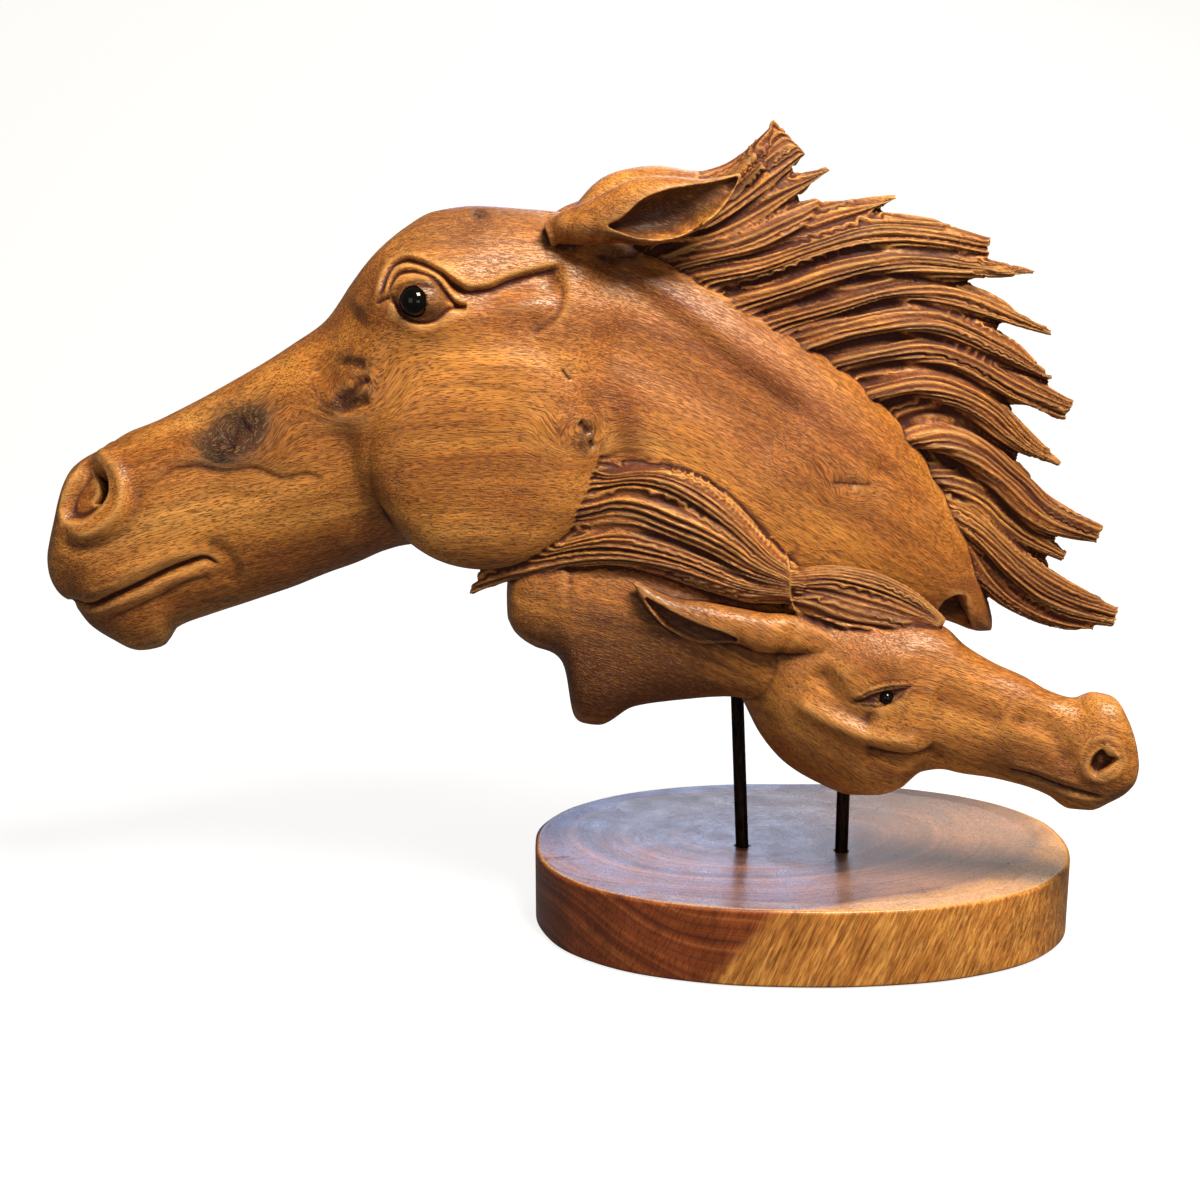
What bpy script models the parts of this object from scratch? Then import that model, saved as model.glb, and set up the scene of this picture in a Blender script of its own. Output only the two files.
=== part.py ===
"""Carved wooden horse heads on an oval wooden base.

A big horse's head and neck with a flying mane, and a foal's head below it, are one carving.
It stands on two steel rods in the base, and each of the four eyes is a set black bead.
Metres, +Z up. +X is to the right of the near side, +Y points away from it, and the origin is
the centre of the base's underside. Tables are in millimetres, in the side view unless stated.
"""

import math

import bpy
import numpy as np

MM = 0.001

# Base: an oval block with a shallow dish in its top, fuller at its corners than an ellipse
BASE_HALF_LENGTH = 125.0
BASE_HALF_DEPTH = 80.0
BASE_POWER = 2.3
BASE_HEIGHT = 36.0
BASE_EDGE_ROUND = 2.5
BASE_DISH = 3.0
BASE_RIM = 9.0

# Rods: place along X at the foot and at the top, depth place, and height of the top
ROD_RADIUS = 3.0
ROD_SEAT = 14.0
ROD_LEFT = (-27.0, -32.0, 2.0, 133.0)
ROD_RIGHT = (19.0, 19.0, -4.0, 118.0)

# Clearance between pieces that touch
GAP = 0.3

# Eyes: centre of the bead and its radius, near side; the far ones are mirrored
HORSE_EYE = (-170.5, -39.5, 291.0)
HORSE_EYE_RADIUS = 6.5
FOAL_EYE = (28.5, -57.0, 124.5)
FOAL_EYE_FAR = (37.0, -16.0, 125.0)
FOAL_EYE_RADIUS = 2.8

# Surface of the carving: cell of the fused mesh, and faces kept after lightening
CELL = 2.2
CARVING_TRIANGLES = 6800

# Rings along and points around the bodies of the carving
HORSE_GRID = (130, 48)
FOAL_GRID = (90, 40)
NECK_GRID = (60, 40)
WEB_GRID = (60, 32)
LOCK_GRID = (40, 20)
PAD_GRID = (16, 40)

# How square a section is: 2 is an ellipse, and higher is boxier
HEAD_POWER = 2.3
LOCK_POWER = 2.2
BLOCK_POWER = 2.6
CHEEK_POWER = 3.0
ROUND_POWER = 2.0

# Ranges of depth that strokes are cut in
NEAR_SIDE = (-60.0, 0.0)
FAR_SIDE = (0.0, 60.0)
FOAL_SIDE = (-90.0, -34.0)

# Big horse from lips to the end of the neck:
# along X, crown, underside, half width, height of the widest line
HORSE = (
    (-342, 176, 168, 5, 172),
    (-340, 183, 161, 11, 173),
    (-337, 193, 156, 15, 176),
    (-333, 206, 153, 18, 181),
    (-329, 214, 149, 20, 184),
    (-324, 218, 142, 22, 186),
    (-316, 222, 136, 24, 187),
    (-303, 230, 130, 25, 186),
    (-293, 234, 132, 25, 188),
    (-286, 237, 141, 25, 191),
    (-270, 245, 147, 25, 197),
    (-250, 256, 154, 27, 205),
    (-230, 268, 161, 30, 215),
    (-213, 280, 168, 33, 224),
    (-202, 295, 172, 36, 233),
    (-190, 309, 177, 39, 242),
    (-178, 319, 180, 41, 248),
    (-165, 326, 181, 42, 250),
    (-148, 328, 182, 42, 250),
    (-128, 327, 184, 41, 248),
    (-108, 325, 180, 39, 242),
    (-90, 319, 165, 37, 234),
    (-70, 311, 150, 36, 224),
    (-45, 300, 144, 35, 214),
    (-20, 285, 142, 34, 204),
    (5, 268, 143, 33, 197),
    (28, 249, 145, 31, 189),
    (45, 229, 145, 28, 181),
    (60, 205, 144, 24, 173),
    (71, 185, 141, 18, 163),
    (79, 163, 139, 11, 151),
    (84, 146, 139, 4, 142),
)

# Foal's head from the throat to the lips, with its depth place in the last column
FOAL = (
    (-36, 152, 126, 8, 139, -14),
    (-30, 158, 112, 17, 136, -17),
    (-22, 160, 97, 21, 129, -21),
    (-12, 161, 86, 24, 121, -25),
    (4, 161, 77, 26, 116, -29),
    (17, 160, 73, 26, 112, -32),
    (29, 159, 74, 25, 110, -35),
    (39, 157, 79, 24, 111, -38),
    (47, 155, 86, 22, 114, -40),
    (56, 151, 88, 20, 115, -42),
    (64, 144, 87, 18, 114, -45),
    (76, 137, 86, 16, 111, -48),
    (88, 132, 84, 15, 107, -51),
    (100, 126, 80, 14, 102, -54),
    (109, 124, 75, 14, 99, -57),
    (117, 127, 75, 15, 99, -59),
    (124, 126, 79, 14, 100, -61),
    (130, 118, 83, 12, 99, -62),
    (134, 108, 88, 8, 97, -63),
    (136, 99, 93, 3, 96, -63),
)

# Foal's neck, cut short at its left end, with its depth place in the last column
FOAL_NECK = (
    (-135, 166, 149, 8, 158, -16),
    (-132, 176, 144, 16, 160, -16),
    (-123, 184, 137, 22, 160, -15),
    (-113, 188, 133, 25, 158, -14),
    (-109, 188, 126, 26, 154, -14),
    (-107, 188, 106, 26, 148, -14),
    (-104, 188, 101, 27, 145, -14),
    (-95, 188, 100, 28, 144, -14),
    (-79, 186, 109, 29, 146, -14),
    (-58, 180, 113, 30, 146, -15),
    (-37, 172, 115, 30, 144, -16),
    (-20, 164, 112, 28, 138, -17),
    (0, 156, 104, 22, 130, -18),
    (14, 150, 110, 12, 128, -18),
)

# Locks of the big mane: along X, height, half width in the side view
MANE_LOCKS = (
    ((-70, 316, 6), (-50, 325, 9), (-31, 339, 10), (-13, 357, 10)),
    ((-64, 310, 6), (-43, 320, 9), (-21, 332, 8), (4, 344, 2)),
    ((-58, 306, 6), (-25, 317, 8), (-8, 325, 6), (0, 331, 2)),
    ((-58, 303, 6), (-25, 313, 8), (2, 322, 8), (32, 332, 2)),
    ((-55, 299, 6), (-21, 306, 9), (13, 317, 9), (43, 316, 8), (74, 312, 4)),
    ((-38, 288, 6), (-12, 296, 8), (18, 306, 9), (53, 304, 8), (94, 300, 2)),
    ((-25, 279, 6), (1, 286, 8), (31, 295, 9), (62, 289, 8), (103, 274, 2)),
    ((-11, 270, 6), (15, 279, 8), (45, 281, 9), (76, 270, 8), (104, 254, 2)),
    ((4, 262, 6), (32, 269, 8), (59, 266, 9), (86, 252, 8), (114, 240, 4)),
    ((20, 249, 6), (44, 254, 8), (66, 247, 9), (87, 231, 7), (110, 216, 2)),
    ((38, 231, 6), (58, 229, 9), (79, 216, 10), (102, 195, 9), (131, 184, 4)),
    ((50, 216, 6), (66, 209, 9), (87, 192, 9), (115, 174, 4)),
    ((59, 203, 6), (73, 189, 9), (95, 168, 10), (116, 154, 9), (141, 146, 4)),
    ((67, 189, 5), (76, 171, 7), (91, 157, 7), (112, 146, 5), (130, 142, 3)),
)
MANE_ROOT_DEPTH = 19.0
MANE_TIP_DEPTH = 4.0
MANE_MIDDLE = -2.0

# Web of wood behind the locks: along X, upper edge, lower edge, half width, middle height
MANE_WEB = (
    (-92, 322, 304, 9, 312),
    (-60, 324, 290, 14, 308),
    (-28, 326, 276, 14, 302),
    (0, 320, 262, 13, 294),
    (25, 318, 244, 12, 284),
    (50, 308, 220, 11, 268),
    (68, 297, 184, 10, 246),
    (78, 278, 168, 9, 226),
    (86, 256, 162, 8, 206),
    (93, 215, 160, 6, 188),
    (102, 186, 158, 4, 172),
    (110, 168, 158, 2, 163),
)

# Hair that runs over the crown behind the ear
CREST = ((-103, 323, 5), (-89, 332, 9), (-71, 335, 10), (-53, 334, 9), (-36, 339, 8), (-26, 347, 7))
CREST_DEPTH = 15.0

# Ear: along X, height, half width, half thickness, depth place
EAR = (
    (-116, 317, 5, 6, -24),
    (-108, 320, 8, 9, -26),
    (-98, 322, 9, 10, -29),
    (-76, 327, 14, 11, -32),
    (-56, 330.5, 11, 8, -33),
    (-36, 341, 1, 2, -31),
)

# Foal's mane: along X, height, half width, half thickness, depth place
FOAL_MANE = (
    ((-7, 171, 5, 8, -40), (-23, 183, 6, 9, -40), (-36, 196, 7, 9, -39), (-51, 208, 8, 9, -38),
     (-71, 214, 8, 8, -37), (-90, 215, 5, 6, -35)),
    ((-7, 169, 5, 8, -41), (-26, 178, 7, 9, -41), (-43, 190, 8, 9, -40), (-62, 198, 9, 9, -38),
     (-85, 202, 9, 8, -36), (-104, 198, 8, 7, -34), (-122, 188, 5, 6, -32)),
    ((-7, 167, 5, 8, -41), (-27, 168, 6, 9, -40), (-47, 175, 8, 9, -39), (-68, 183, 9, 9, -37),
     (-92, 186, 9, 9, -34), (-116, 180, 8, 8, -31), (-137, 175, 7, 6, -29), (-151, 163, 2, 3, -28)),
)

# Foal's forelock, from the tie over the brow
FORELOCK = (
    ((-14, 172, 4, 5, -43), (4, 171, 7, 7, -42), (21, 169, 7, 7, -43), (38, 163, 6, 6, -44),
     (54, 155, 2, 3, -46)),
    ((-14, 168, 4, 5, -44), (9, 163, 6, 6, -45), (30, 159, 5, 5, -46), (52, 155, 2, 3, -47)),
)

# Swelling behind the foal's jaw that the right rod enters
ROD_BOSS = (8.0, -7.0, 122.0)
ROD_BOSS_RADII = (25.0, 17.0, 23.0)

# Cheek and eye swellings of the big horse, near and far: centre on the far side, and radii
CHEEK = (-143.0, 26.0, 228.0)
CHEEK_RADII = (53.0, 20.0, 54.0)
BROW = (-168.0, 31.0, 292.0)
BROW_RADII = (22.0, 13.0, 16.0)

# Foal's ear
FOAL_EAR = (
    (-10, 147, 5, 6, -42),
    (-20, 150, 8, 8, -44),
    (-34, 155, 9, 8, -45),
    (-51, 159, 8, 7, -45),
    (-66, 167, 5, 4, -44),
    (-79, 177, 1, 2, -43),
)

# Strokes on both sides of the big horse: along X, height, half width, depth (below 0 is raised)
HORSE_STROKES = (
    # nostril and the rim round it
    ((-310, 213, 5, 6), (-309, 207, 5, 7), (-314, 201, 5, 5)),
    ((-309, 221, 4, -2), (-301, 212, 4, -3), (-300, 203, 4, -3), (-307, 194, 4, -2)),
    # mouth, with a full lip above it and below it
    ((-334, 153, 3, 3), (-322, 155, 3, 4), (-308, 161, 3, 4), (-295, 167, 3, 4), (-285, 172, 3, 4),
     (-275, 176, 3, 4), (-267, 178, 3, 3), (-260, 173, 3, 1)),
    ((-312, 170, 5, -2), (-296, 176, 5, -2), (-281, 182, 5, -2), (-265, 184, 4, -1)),
    # creases of the face
    ((-280, 218, 3, 1), (-266, 220, 3, 2), (-240, 222, 3, 2), (-228, 218, 3, 2), (-209, 215, 3, 1)),
    # edge of the cheek, front and back
    ((-203, 237, 6, 3), (-200, 218, 6, 5), (-196, 204, 6, 5), (-189, 194, 6, 4), (-181, 184, 5, 2)),
    ((-93, 212, 6, 3), (-88, 226, 7, 4), (-88, 242, 7, 4), (-94, 260, 8, 3), (-104, 278, 8, 1)),
    # below the bone under the eye
    ((-121, 279, 7, 2), (-150, 272, 7, 3), (-173, 266, 7, 3), (-188, 254, 6, 2)),
    # hollow behind the eye, with the bone below it
    ((-145, 295, 5, 3), (-133, 295, 6, 5), (-122, 292, 6, 5)),
    ((-150, 281, 5, -2), (-134, 283, 5, -3), (-118, 284, 5, -2)),
    # brow over the eye, and the hollow in front of it
    ((-187, 300, 4, -2), (-177, 308, 5, -4), (-162, 309, 5, -4), (-150, 303, 5, -2)),
    ((-196, 286, 6, 3), (-204, 274, 7, 3), (-215, 258, 8, 2)),
    # eye socket
    ((-181, 289, 3, 2), (-171, 281, 3, 2), (-158, 286, 3, 2)),
    # pit below the ear
    ((-99, 308, 6, 6), (-88, 303, 5, 5), (-79, 300, 4, 2)),
    # long hollows of the neck
    ((-98, 279, 12, 2), (-56, 256, 14, 5), (-9, 222, 14, 3)),
    ((22, 221, 4, 1), (39, 213, 4, 2), (51, 196, 4, 1)),
    # open side of the ear
    ((-92, 320, 4, 6), (-76, 324, 5, 8), (-58, 331, 4, 6), (-44, 338, 2, 2)),
)

# Strokes on the foal, near side
FOAL_STROKES = (
    # eye slit, and the brow over it
    ((10, 122, 2, 1), (19, 122, 3, 2), (35, 126, 2, 1)),
    ((12, 131, 4, -2), (24, 134, 4, -3), (38, 134, 4, -2)),
    # cheek bone, with the hollow above it
    ((-8, 126, 5, -1), (3, 117, 5, -3), (18, 111, 5, -4), (36, 107, 5, -4), (46, 106, 4, -2)),
    ((-2, 130, 5, 2), (8, 122, 5, 3), (20, 117, 4, 2)),
    # hollow behind the nostril, the nostril, the mouth and the open side of the ear
    ((78, 116, 5, 2), (91, 115, 5, 3), (104, 105, 5, 3)),
    ((116, 101, 3, 5), (120, 99, 3, 5)),
    ((84, 91, 2, 2), (98, 88, 2, 2), (116, 84, 2, 2)),
    ((-24, 152, 3, 3), (-38, 155, 4, 4), (-54, 160, 3, 3), (-66, 167, 2, 1)),
)


def smooth_rows(rows, count, even=False):
    """Rows of a table read at count even steps of a cubic curve that passes through them.

    An even curve never swings past its rows: its slope there is the harmonic mean of the
    slopes on both sides, and nothing where they differ in sign.
    """
    table = np.array(rows, float)
    steps = np.linalg.norm(np.diff(table[:, :2], axis=0), axis=1)
    place = np.concatenate(([0.0], np.cumsum(steps)))
    slope = np.gradient(table, place, axis=0)
    if even:
        rise = np.diff(table, axis=0) / steps[:, None]
        product = rise[:-1] * rise[1:]
        total = rise[:-1] + rise[1:]
        total[product <= 0.0] = 1.0
        slope[1:-1] = np.where(product > 0.0, 2.0 * product / total, 0.0)
    asked = np.linspace(0.0, place[-1], count)
    left = np.clip(np.searchsorted(place, asked, side="right") - 1, 0, len(place) - 2)
    span = (place[left + 1] - place[left])[:, None]
    t = (asked - place[left])[:, None] / span
    start = (1 + 2 * t) * (1 - t) ** 2 * table[left] + t * (1 - t) ** 2 * span * slope[left]
    end = t * t * (3 - 2 * t) * table[left + 1] + t * t * (t - 1) * span * slope[left + 1]
    return start + end


def rounded(angle_part, power):
    """A sine or cosine pushed outward: the sign kept and the size raised to 2 / power."""
    return np.sign(angle_part) * np.abs(angle_part) ** (2.0 / power)


def ring_body(rings):
    """Points and faces of a closed body skinned over rings, each end closed to its middle."""
    count, around, _ = rings.shape
    points = np.vstack((rings.reshape(-1, 3), rings[0].mean(axis=0), rings[-1].mean(axis=0)))
    faces = []
    for ring in range(count - 1):
        for step in range(around):
            a = ring * around + step
            b = ring * around + (step + 1) % around
            faces.append((a, b, b + around, a + around))
    last = (count - 1) * around
    for step in range(around):
        after = (step + 1) % around
        faces.append((after, step, count * around))
        faces.append((last + step, last + after, count * around + 1))
    return points, faces


def section_body(table, grid, power=HEAD_POWER):
    """A body skinned over upright sections, from its crown, underside and half width."""
    rows = smooth_rows(table, grid[0], even=True)
    along = rows[:, 0:1]
    crown = rows[:, 1:2]
    under = rows[:, 2:3]
    half = np.maximum(rows[:, 3:4], 0.5)
    widest = np.clip(rows[:, 4:5], under + 1.0, crown - 1.0)
    middle = rows[:, 5:6] if rows.shape[1] > 5 else 0.0 * along
    angle = np.linspace(0.0, 2.0 * math.pi, grid[1], endpoint=False)[None, :]
    rise = rounded(np.sin(angle), power)
    height = widest + np.where(rise > 0, (crown - widest) * rise, (widest - under) * rise)
    depth = middle + half * rounded(np.cos(angle), power)
    return ring_body(np.stack((along + 0.0 * angle, depth, height), axis=-1))


def lock_body(table):
    """A tapering body carried along a path: half width in the side view, half thickness in Y."""
    rows = smooth_rows(table, LOCK_GRID[0])
    along = np.gradient(rows[:, 0])
    up = np.gradient(rows[:, 1])
    length = np.hypot(along, up)
    side_x = (-up / length)[:, None]
    side_z = (along / length)[:, None]
    angle = np.linspace(0.0, 2.0 * math.pi, LOCK_GRID[1], endpoint=False)[None, :]
    across = rows[:, 2:3] * rounded(np.cos(angle), LOCK_POWER)
    through = rows[:, 3:4] * rounded(np.sin(angle), LOCK_POWER)
    x = rows[:, 0:1] + side_x * across
    z = rows[:, 1:2] + side_z * across
    y = rows[:, 4:5] + through
    return ring_body(np.stack((x, y, z), axis=-1))


def pad_body(centre, radii, power):
    """A cushion-shaped body that is round in the side view and flat-faced in Y."""
    angle = np.linspace(0.0, 2.0 * math.pi, PAD_GRID[1], endpoint=False)[None, :]
    tilt = np.linspace(-0.5 * math.pi, 0.5 * math.pi, PAD_GRID[0] + 2)[1:-1, None]
    reach = np.cos(tilt) ** (2.0 / power)
    x = centre[0] + radii[0] * reach * np.cos(angle)
    y = centre[1] + radii[1] * rounded(np.sin(tilt), power) + 0.0 * angle
    z = centre[2] + radii[2] * reach * np.sin(angle)
    return ring_body(np.stack((x, y, z), axis=-1))


def mirrored(table):
    """The same path on the far side: depth places take the other sign."""
    return [(*row[:4], -row[4]) for row in table]


def mane_table(rows):
    """Adds thickness and depth place to a lock of the big mane, thick at the root, thin at the tip."""
    table = []
    for index, (x, z, half) in enumerate(rows):
        share = index / (len(rows) - 1)
        thick = MANE_ROOT_DEPTH + (MANE_TIP_DEPTH - MANE_ROOT_DEPTH) * share ** 1.5
        table.append((x, z, half, thick, MANE_MIDDLE))
    return table


def carving_bodies():
    """Every body that the carving is fused from."""
    bodies = [
        section_body(HORSE, HORSE_GRID),
        section_body(FOAL, FOAL_GRID),
        section_body(FOAL_NECK, NECK_GRID, BLOCK_POWER),
        section_body(MANE_WEB, WEB_GRID, BLOCK_POWER),
        lock_body([(*row, CREST_DEPTH, 0.0) for row in CREST]),
        lock_body(EAR),
        lock_body(mirrored(EAR)),
        lock_body(FOAL_EAR),
        pad_body(ROD_BOSS, ROD_BOSS_RADII, ROUND_POWER),
    ]
    for side in (-1.0, 1.0):
        bodies.append(pad_body((CHEEK[0], side * CHEEK[1], CHEEK[2]), CHEEK_RADII, CHEEK_POWER))
        bodies.append(pad_body((BROW[0], side * BROW[1], BROW[2]), BROW_RADII, ROUND_POWER))
    for rows in MANE_LOCKS:
        bodies.append(lock_body(mane_table(rows)))
    for table in FOAL_MANE + FORELOCK:
        bodies.append(lock_body(table))
    return bodies


def joined_mesh(name, bodies):
    """One mesh that holds several closed bodies, scaled to metres."""
    points = []
    faces = []
    for body_points, body_faces in bodies:
        offset = sum(len(part) for part in points)
        points.append(body_points)
        faces.extend([[corner + offset for corner in face] for face in body_faces])
    mesh = bpy.data.meshes.new(name)
    mesh.from_pydata((np.vstack(points) * MM).tolist(), [], faces)
    mesh.update()
    return mesh


def evaluated_mesh(source, name):
    """The mesh of an object with its modifiers worked in."""
    graph = bpy.context.evaluated_depsgraph_get()
    mesh = bpy.data.meshes.new_from_object(source.evaluated_get(graph))
    mesh.name = name
    return mesh


def with_modifier(mesh, kind, **settings):
    """The mesh after one modifier."""
    holder = bpy.data.objects.new("work", mesh)
    bpy.context.scene.collection.objects.link(holder)
    modifier = holder.modifiers.new(kind.title(), kind)
    for key, value in settings.items():
        setattr(modifier, key, value)
    done = evaluated_mesh(holder, mesh.name)
    bpy.data.objects.remove(holder)
    return done


def mesh_points(mesh):
    """Vertex places as an array."""
    flat = np.empty(len(mesh.vertices) * 3)
    mesh.vertices.foreach_get("co", flat)
    return flat.reshape(-1, 3)


def mesh_normals(mesh):
    """Vertex normals as an array."""
    flat = np.empty(len(mesh.vertices) * 3)
    mesh.vertices.foreach_get("normal", flat)
    return flat.reshape(-1, 3)


def soften(mesh, rounds, amount):
    """Moves each vertex towards the middle of its neighbours."""
    edges = np.empty(len(mesh.edges) * 2, int)
    mesh.edges.foreach_get("vertices", edges)
    ends = edges.reshape(-1, 2)
    total = len(mesh.vertices)
    degree = np.bincount(ends.ravel(), minlength=total)[:, None]
    points = mesh_points(mesh)
    for _ in range(rounds):
        middle = np.zeros_like(points)
        for axis in range(3):
            middle[:, axis] += np.bincount(ends[:, 0], points[ends[:, 1], axis], total)
            middle[:, axis] += np.bincount(ends[:, 1], points[ends[:, 0], axis], total)
        points += amount * (middle / degree - points)
    mesh.vertices.foreach_set("co", points.ravel())
    mesh.update()


def stroke_depth(points, rows):
    """Depth of a stroke at each point: it falls off from its path like a bell curve."""
    path = smooth_rows(rows, 8 * len(rows))
    deepest = np.zeros(len(points))
    for start, end in zip(path[:-1], path[1:]):
        run = end[:2] - start[:2]
        offset = points[:, [0, 2]] - start[:2]
        share = np.clip(offset @ run / max(run @ run, 1e-9), 0.0, 1.0)
        away = np.linalg.norm(offset - share[:, None] * run, axis=1)
        half = start[2] + share * (end[2] - start[2])
        depth = start[3] + share * (end[3] - start[3])
        value = depth * np.exp(-((away / half) ** 2))
        deepest = np.where(np.abs(value) > np.abs(deepest), value, deepest)
    return deepest


def carve(mesh, strokes, side, depth_range):
    """Sinks strokes into the surface that faces one side, within a range of Y."""
    points = mesh_points(mesh) / MM
    for rows in strokes:
        mesh.update()
        normals = mesh_normals(mesh)
        facing = np.clip(side * normals[:, 1] * 2.5, 0.0, 1.0)
        inside = (points[:, 1] > depth_range[0]) & (points[:, 1] < depth_range[1])
        move = -stroke_depth(points, rows) * facing * inside
        points = points + normals * move[:, None]
        mesh.vertices.foreach_set("co", (points * MM).ravel())
    mesh.update()


def principled(name, colour, roughness, metallic=0.0):
    """A plain surface material."""
    material = bpy.data.materials.new(name)
    material.use_nodes = True
    shader = material.node_tree.nodes["Principled BSDF"]
    shader.inputs["Base Color"].default_value = (*colour, 1.0)
    shader.inputs["Roughness"].default_value = roughness
    shader.inputs["Metallic"].default_value = metallic
    material.diffuse_color = (*colour, 1.0)
    return material


def placed(name, mesh, collection, material=None):
    """An object of a mesh, in a collection."""
    item = bpy.data.objects.new(name, mesh)
    collection.objects.link(item)
    if material:
        mesh.materials.clear()
        mesh.materials.append(material)
    return item


def adopt(item, name, collection, material=None):
    """Names the object that a primitive made and moves it to a collection."""
    item.name = name
    item.data.name = name
    for holder in list(item.users_collection):
        holder.objects.unlink(item)
    collection.objects.link(item)
    if material:
        item.data.materials.append(material)
    return item


def bead(name, centre, radius, collection, material=None):
    """A round bead."""
    bpy.ops.mesh.primitive_uv_sphere_add(
        segments=16, ring_count=8, radius=radius * MM, location=[v * MM for v in centre]
    )
    return adopt(bpy.context.object, name, collection, material)


def rod(name, rule, radius, low, collection, material=None):
    """A rod from height low up to the rule's top, leaning as the rule says."""
    foot_x, top_x, y, top_z = rule
    lean = math.atan2(top_x - foot_x, top_z - (BASE_HEIGHT - BASE_DISH))
    middle_z = 0.5 * (low + top_z)
    middle_x = foot_x + math.tan(lean) * (middle_z - (BASE_HEIGHT - BASE_DISH))
    bpy.ops.mesh.primitive_cylinder_add(
        vertices=16,
        radius=radius * MM,
        depth=(top_z - low) / math.cos(lean) * MM,
        location=(middle_x * MM, y * MM, middle_z * MM),
        rotation=(0.0, lean, 0.0),
    )
    return adopt(bpy.context.object, name, collection, material)


def cut(target, cutter):
    """Takes the cutter's shape out of the target."""
    modifier = target.modifiers.new("Cut " + cutter.name, "BOOLEAN")
    modifier.operation = "DIFFERENCE"
    modifier.solver = "EXACT"
    modifier.object = cutter


def base_profile():
    """Half section of the base: underside, round edges, rim and dish, as radius and height."""
    r = BASE_EDGE_ROUND
    edge = BASE_HALF_DEPTH
    points = [(0.0, 0.0)]
    for step in range(3):
        turn = 0.5 * math.pi * step / 2
        points.append((edge - r + r * math.sin(turn), r - r * math.cos(turn)))
    for step in range(3):
        turn = 0.5 * math.pi * step / 2
        points.append((edge - r + r * math.cos(turn), BASE_HEIGHT - r + r * math.sin(turn)))
    dish_edge = edge - BASE_RIM
    for step in range(4):
        share = 1.0 - step / 3
        points.append((dish_edge * share, BASE_HEIGHT - BASE_DISH * (1.0 - share ** 2.5)))
    return points


def make_base(collection, material):
    """The oval base: the half section turned round Z, pushed out at its corners and stretched.

    A point at angle a moves out by (|cos a|^power + |sin a|^power)^(-1 / power), which is 1 on
    both axes, and X is then stretched to the half length. The middle itself stays.
    """
    profile = base_profile()
    mesh = bpy.data.meshes.new("base")
    rows = [(radius * MM, 0.0, height * MM) for radius, height in profile]
    mesh.from_pydata(rows, [(i, i + 1) for i in range(len(rows) - 1)], [])
    item = placed("base", mesh, collection)
    turned = item.modifiers.new("Turn", "SCREW")
    turned.axis = "Z"
    turned.steps = 48
    turned.render_steps = 48
    turned.use_merge_vertices = True
    turned.merge_threshold = 0.0001
    turned.use_normal_calculate = True
    solid = evaluated_mesh(item, "base")
    bpy.data.objects.remove(item)
    points = mesh_points(solid)
    reach = np.maximum(np.hypot(points[:, 0], points[:, 1]), 1e-6)
    square = (np.abs(points[:, 0:2]) / reach[:, None]) ** BASE_POWER
    total = np.maximum(square.sum(axis=1), 0.5)
    points[:, 0:2] *= (total ** (-1.0 / BASE_POWER))[:, None]
    points[:, 0] *= BASE_HALF_LENGTH / BASE_HALF_DEPTH
    solid.vertices.foreach_set("co", points.ravel())
    solid.update()
    return placed("base", solid, collection, material)


def make_carving(collection, material):
    """The two horses: bodies fused, smoothed, carved with strokes and lightened."""
    mesh = joined_mesh("carved_horses", carving_bodies())
    mesh = with_modifier(mesh, "REMESH", mode="VOXEL", voxel_size=CELL * MM)
    soften(mesh, 3, 0.5)
    carve(mesh, HORSE_STROKES, -1.0, NEAR_SIDE)
    carve(mesh, HORSE_STROKES, 1.0, FAR_SIDE)
    carve(mesh, FOAL_STROKES, -1.0, FOAL_SIDE)
    soften(mesh, 1, 0.4)
    mesh = with_modifier(mesh, "TRIANGULATE")
    share = CARVING_TRIANGLES / len(mesh.polygons)
    mesh = with_modifier(mesh, "DECIMATE", ratio=share)
    return placed("carved_horses", mesh, collection, material)


def main():
    for item in list(bpy.data.objects):
        bpy.data.objects.remove(item)
    parts = bpy.data.collections.new("carved_horse_heads")
    cutters = bpy.data.collections.new("cutters")
    bpy.context.scene.collection.children.link(parts)
    bpy.context.scene.collection.children.link(cutters)

    wood = principled("oiled carved wood", (0.45, 0.19, 0.06), 0.42)
    base_wood = principled("polished base wood", (0.22, 0.07, 0.03), 0.25)
    steel = principled("blackened steel", (0.03, 0.03, 0.03), 0.4, 1.0)
    glass = principled("black glass", (0.01, 0.01, 0.01), 0.05)

    carving = make_carving(parts, wood)
    base = make_base(parts, base_wood)

    foot = BASE_HEIGHT - BASE_DISH - ROD_SEAT
    for name, rule in (("rod_left", ROD_LEFT), ("rod_right", ROD_RIGHT)):
        rod(name, rule, ROD_RADIUS, foot, parts, steel)
        upper = (*rule[:3], rule[3] + GAP)
        hole = rod(name + "_hole", upper, ROD_RADIUS + GAP, foot - GAP, cutters)
        cut(base, hole)
        cut(carving, hole)

    far_eye = (HORSE_EYE[0], -HORSE_EYE[1], HORSE_EYE[2])
    eyes = (
        ("horse_eye_near", HORSE_EYE, HORSE_EYE_RADIUS),
        ("horse_eye_far", far_eye, HORSE_EYE_RADIUS),
        ("foal_eye_near", FOAL_EYE, FOAL_EYE_RADIUS),
        ("foal_eye_far", FOAL_EYE_FAR, FOAL_EYE_RADIUS),
    )
    for name, centre, radius in eyes:
        bead(name, centre, radius, parts, glass)
        cut(carving, bead(name + "_socket", centre, radius + GAP, cutters))

    for cutter in cutters.objects:
        cutter.hide_render = True
        cutter.display_type = "WIRE"


main()
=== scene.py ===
"""Looks of the carved horse heads on their oval base.

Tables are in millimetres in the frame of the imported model: +X to the right of the near side,
+Y away from it, +Z up, origin at the centre of the base's underside. Pairs are X and Z, the
side view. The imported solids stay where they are; each piece made here stands for some of them.
"""

import math

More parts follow.
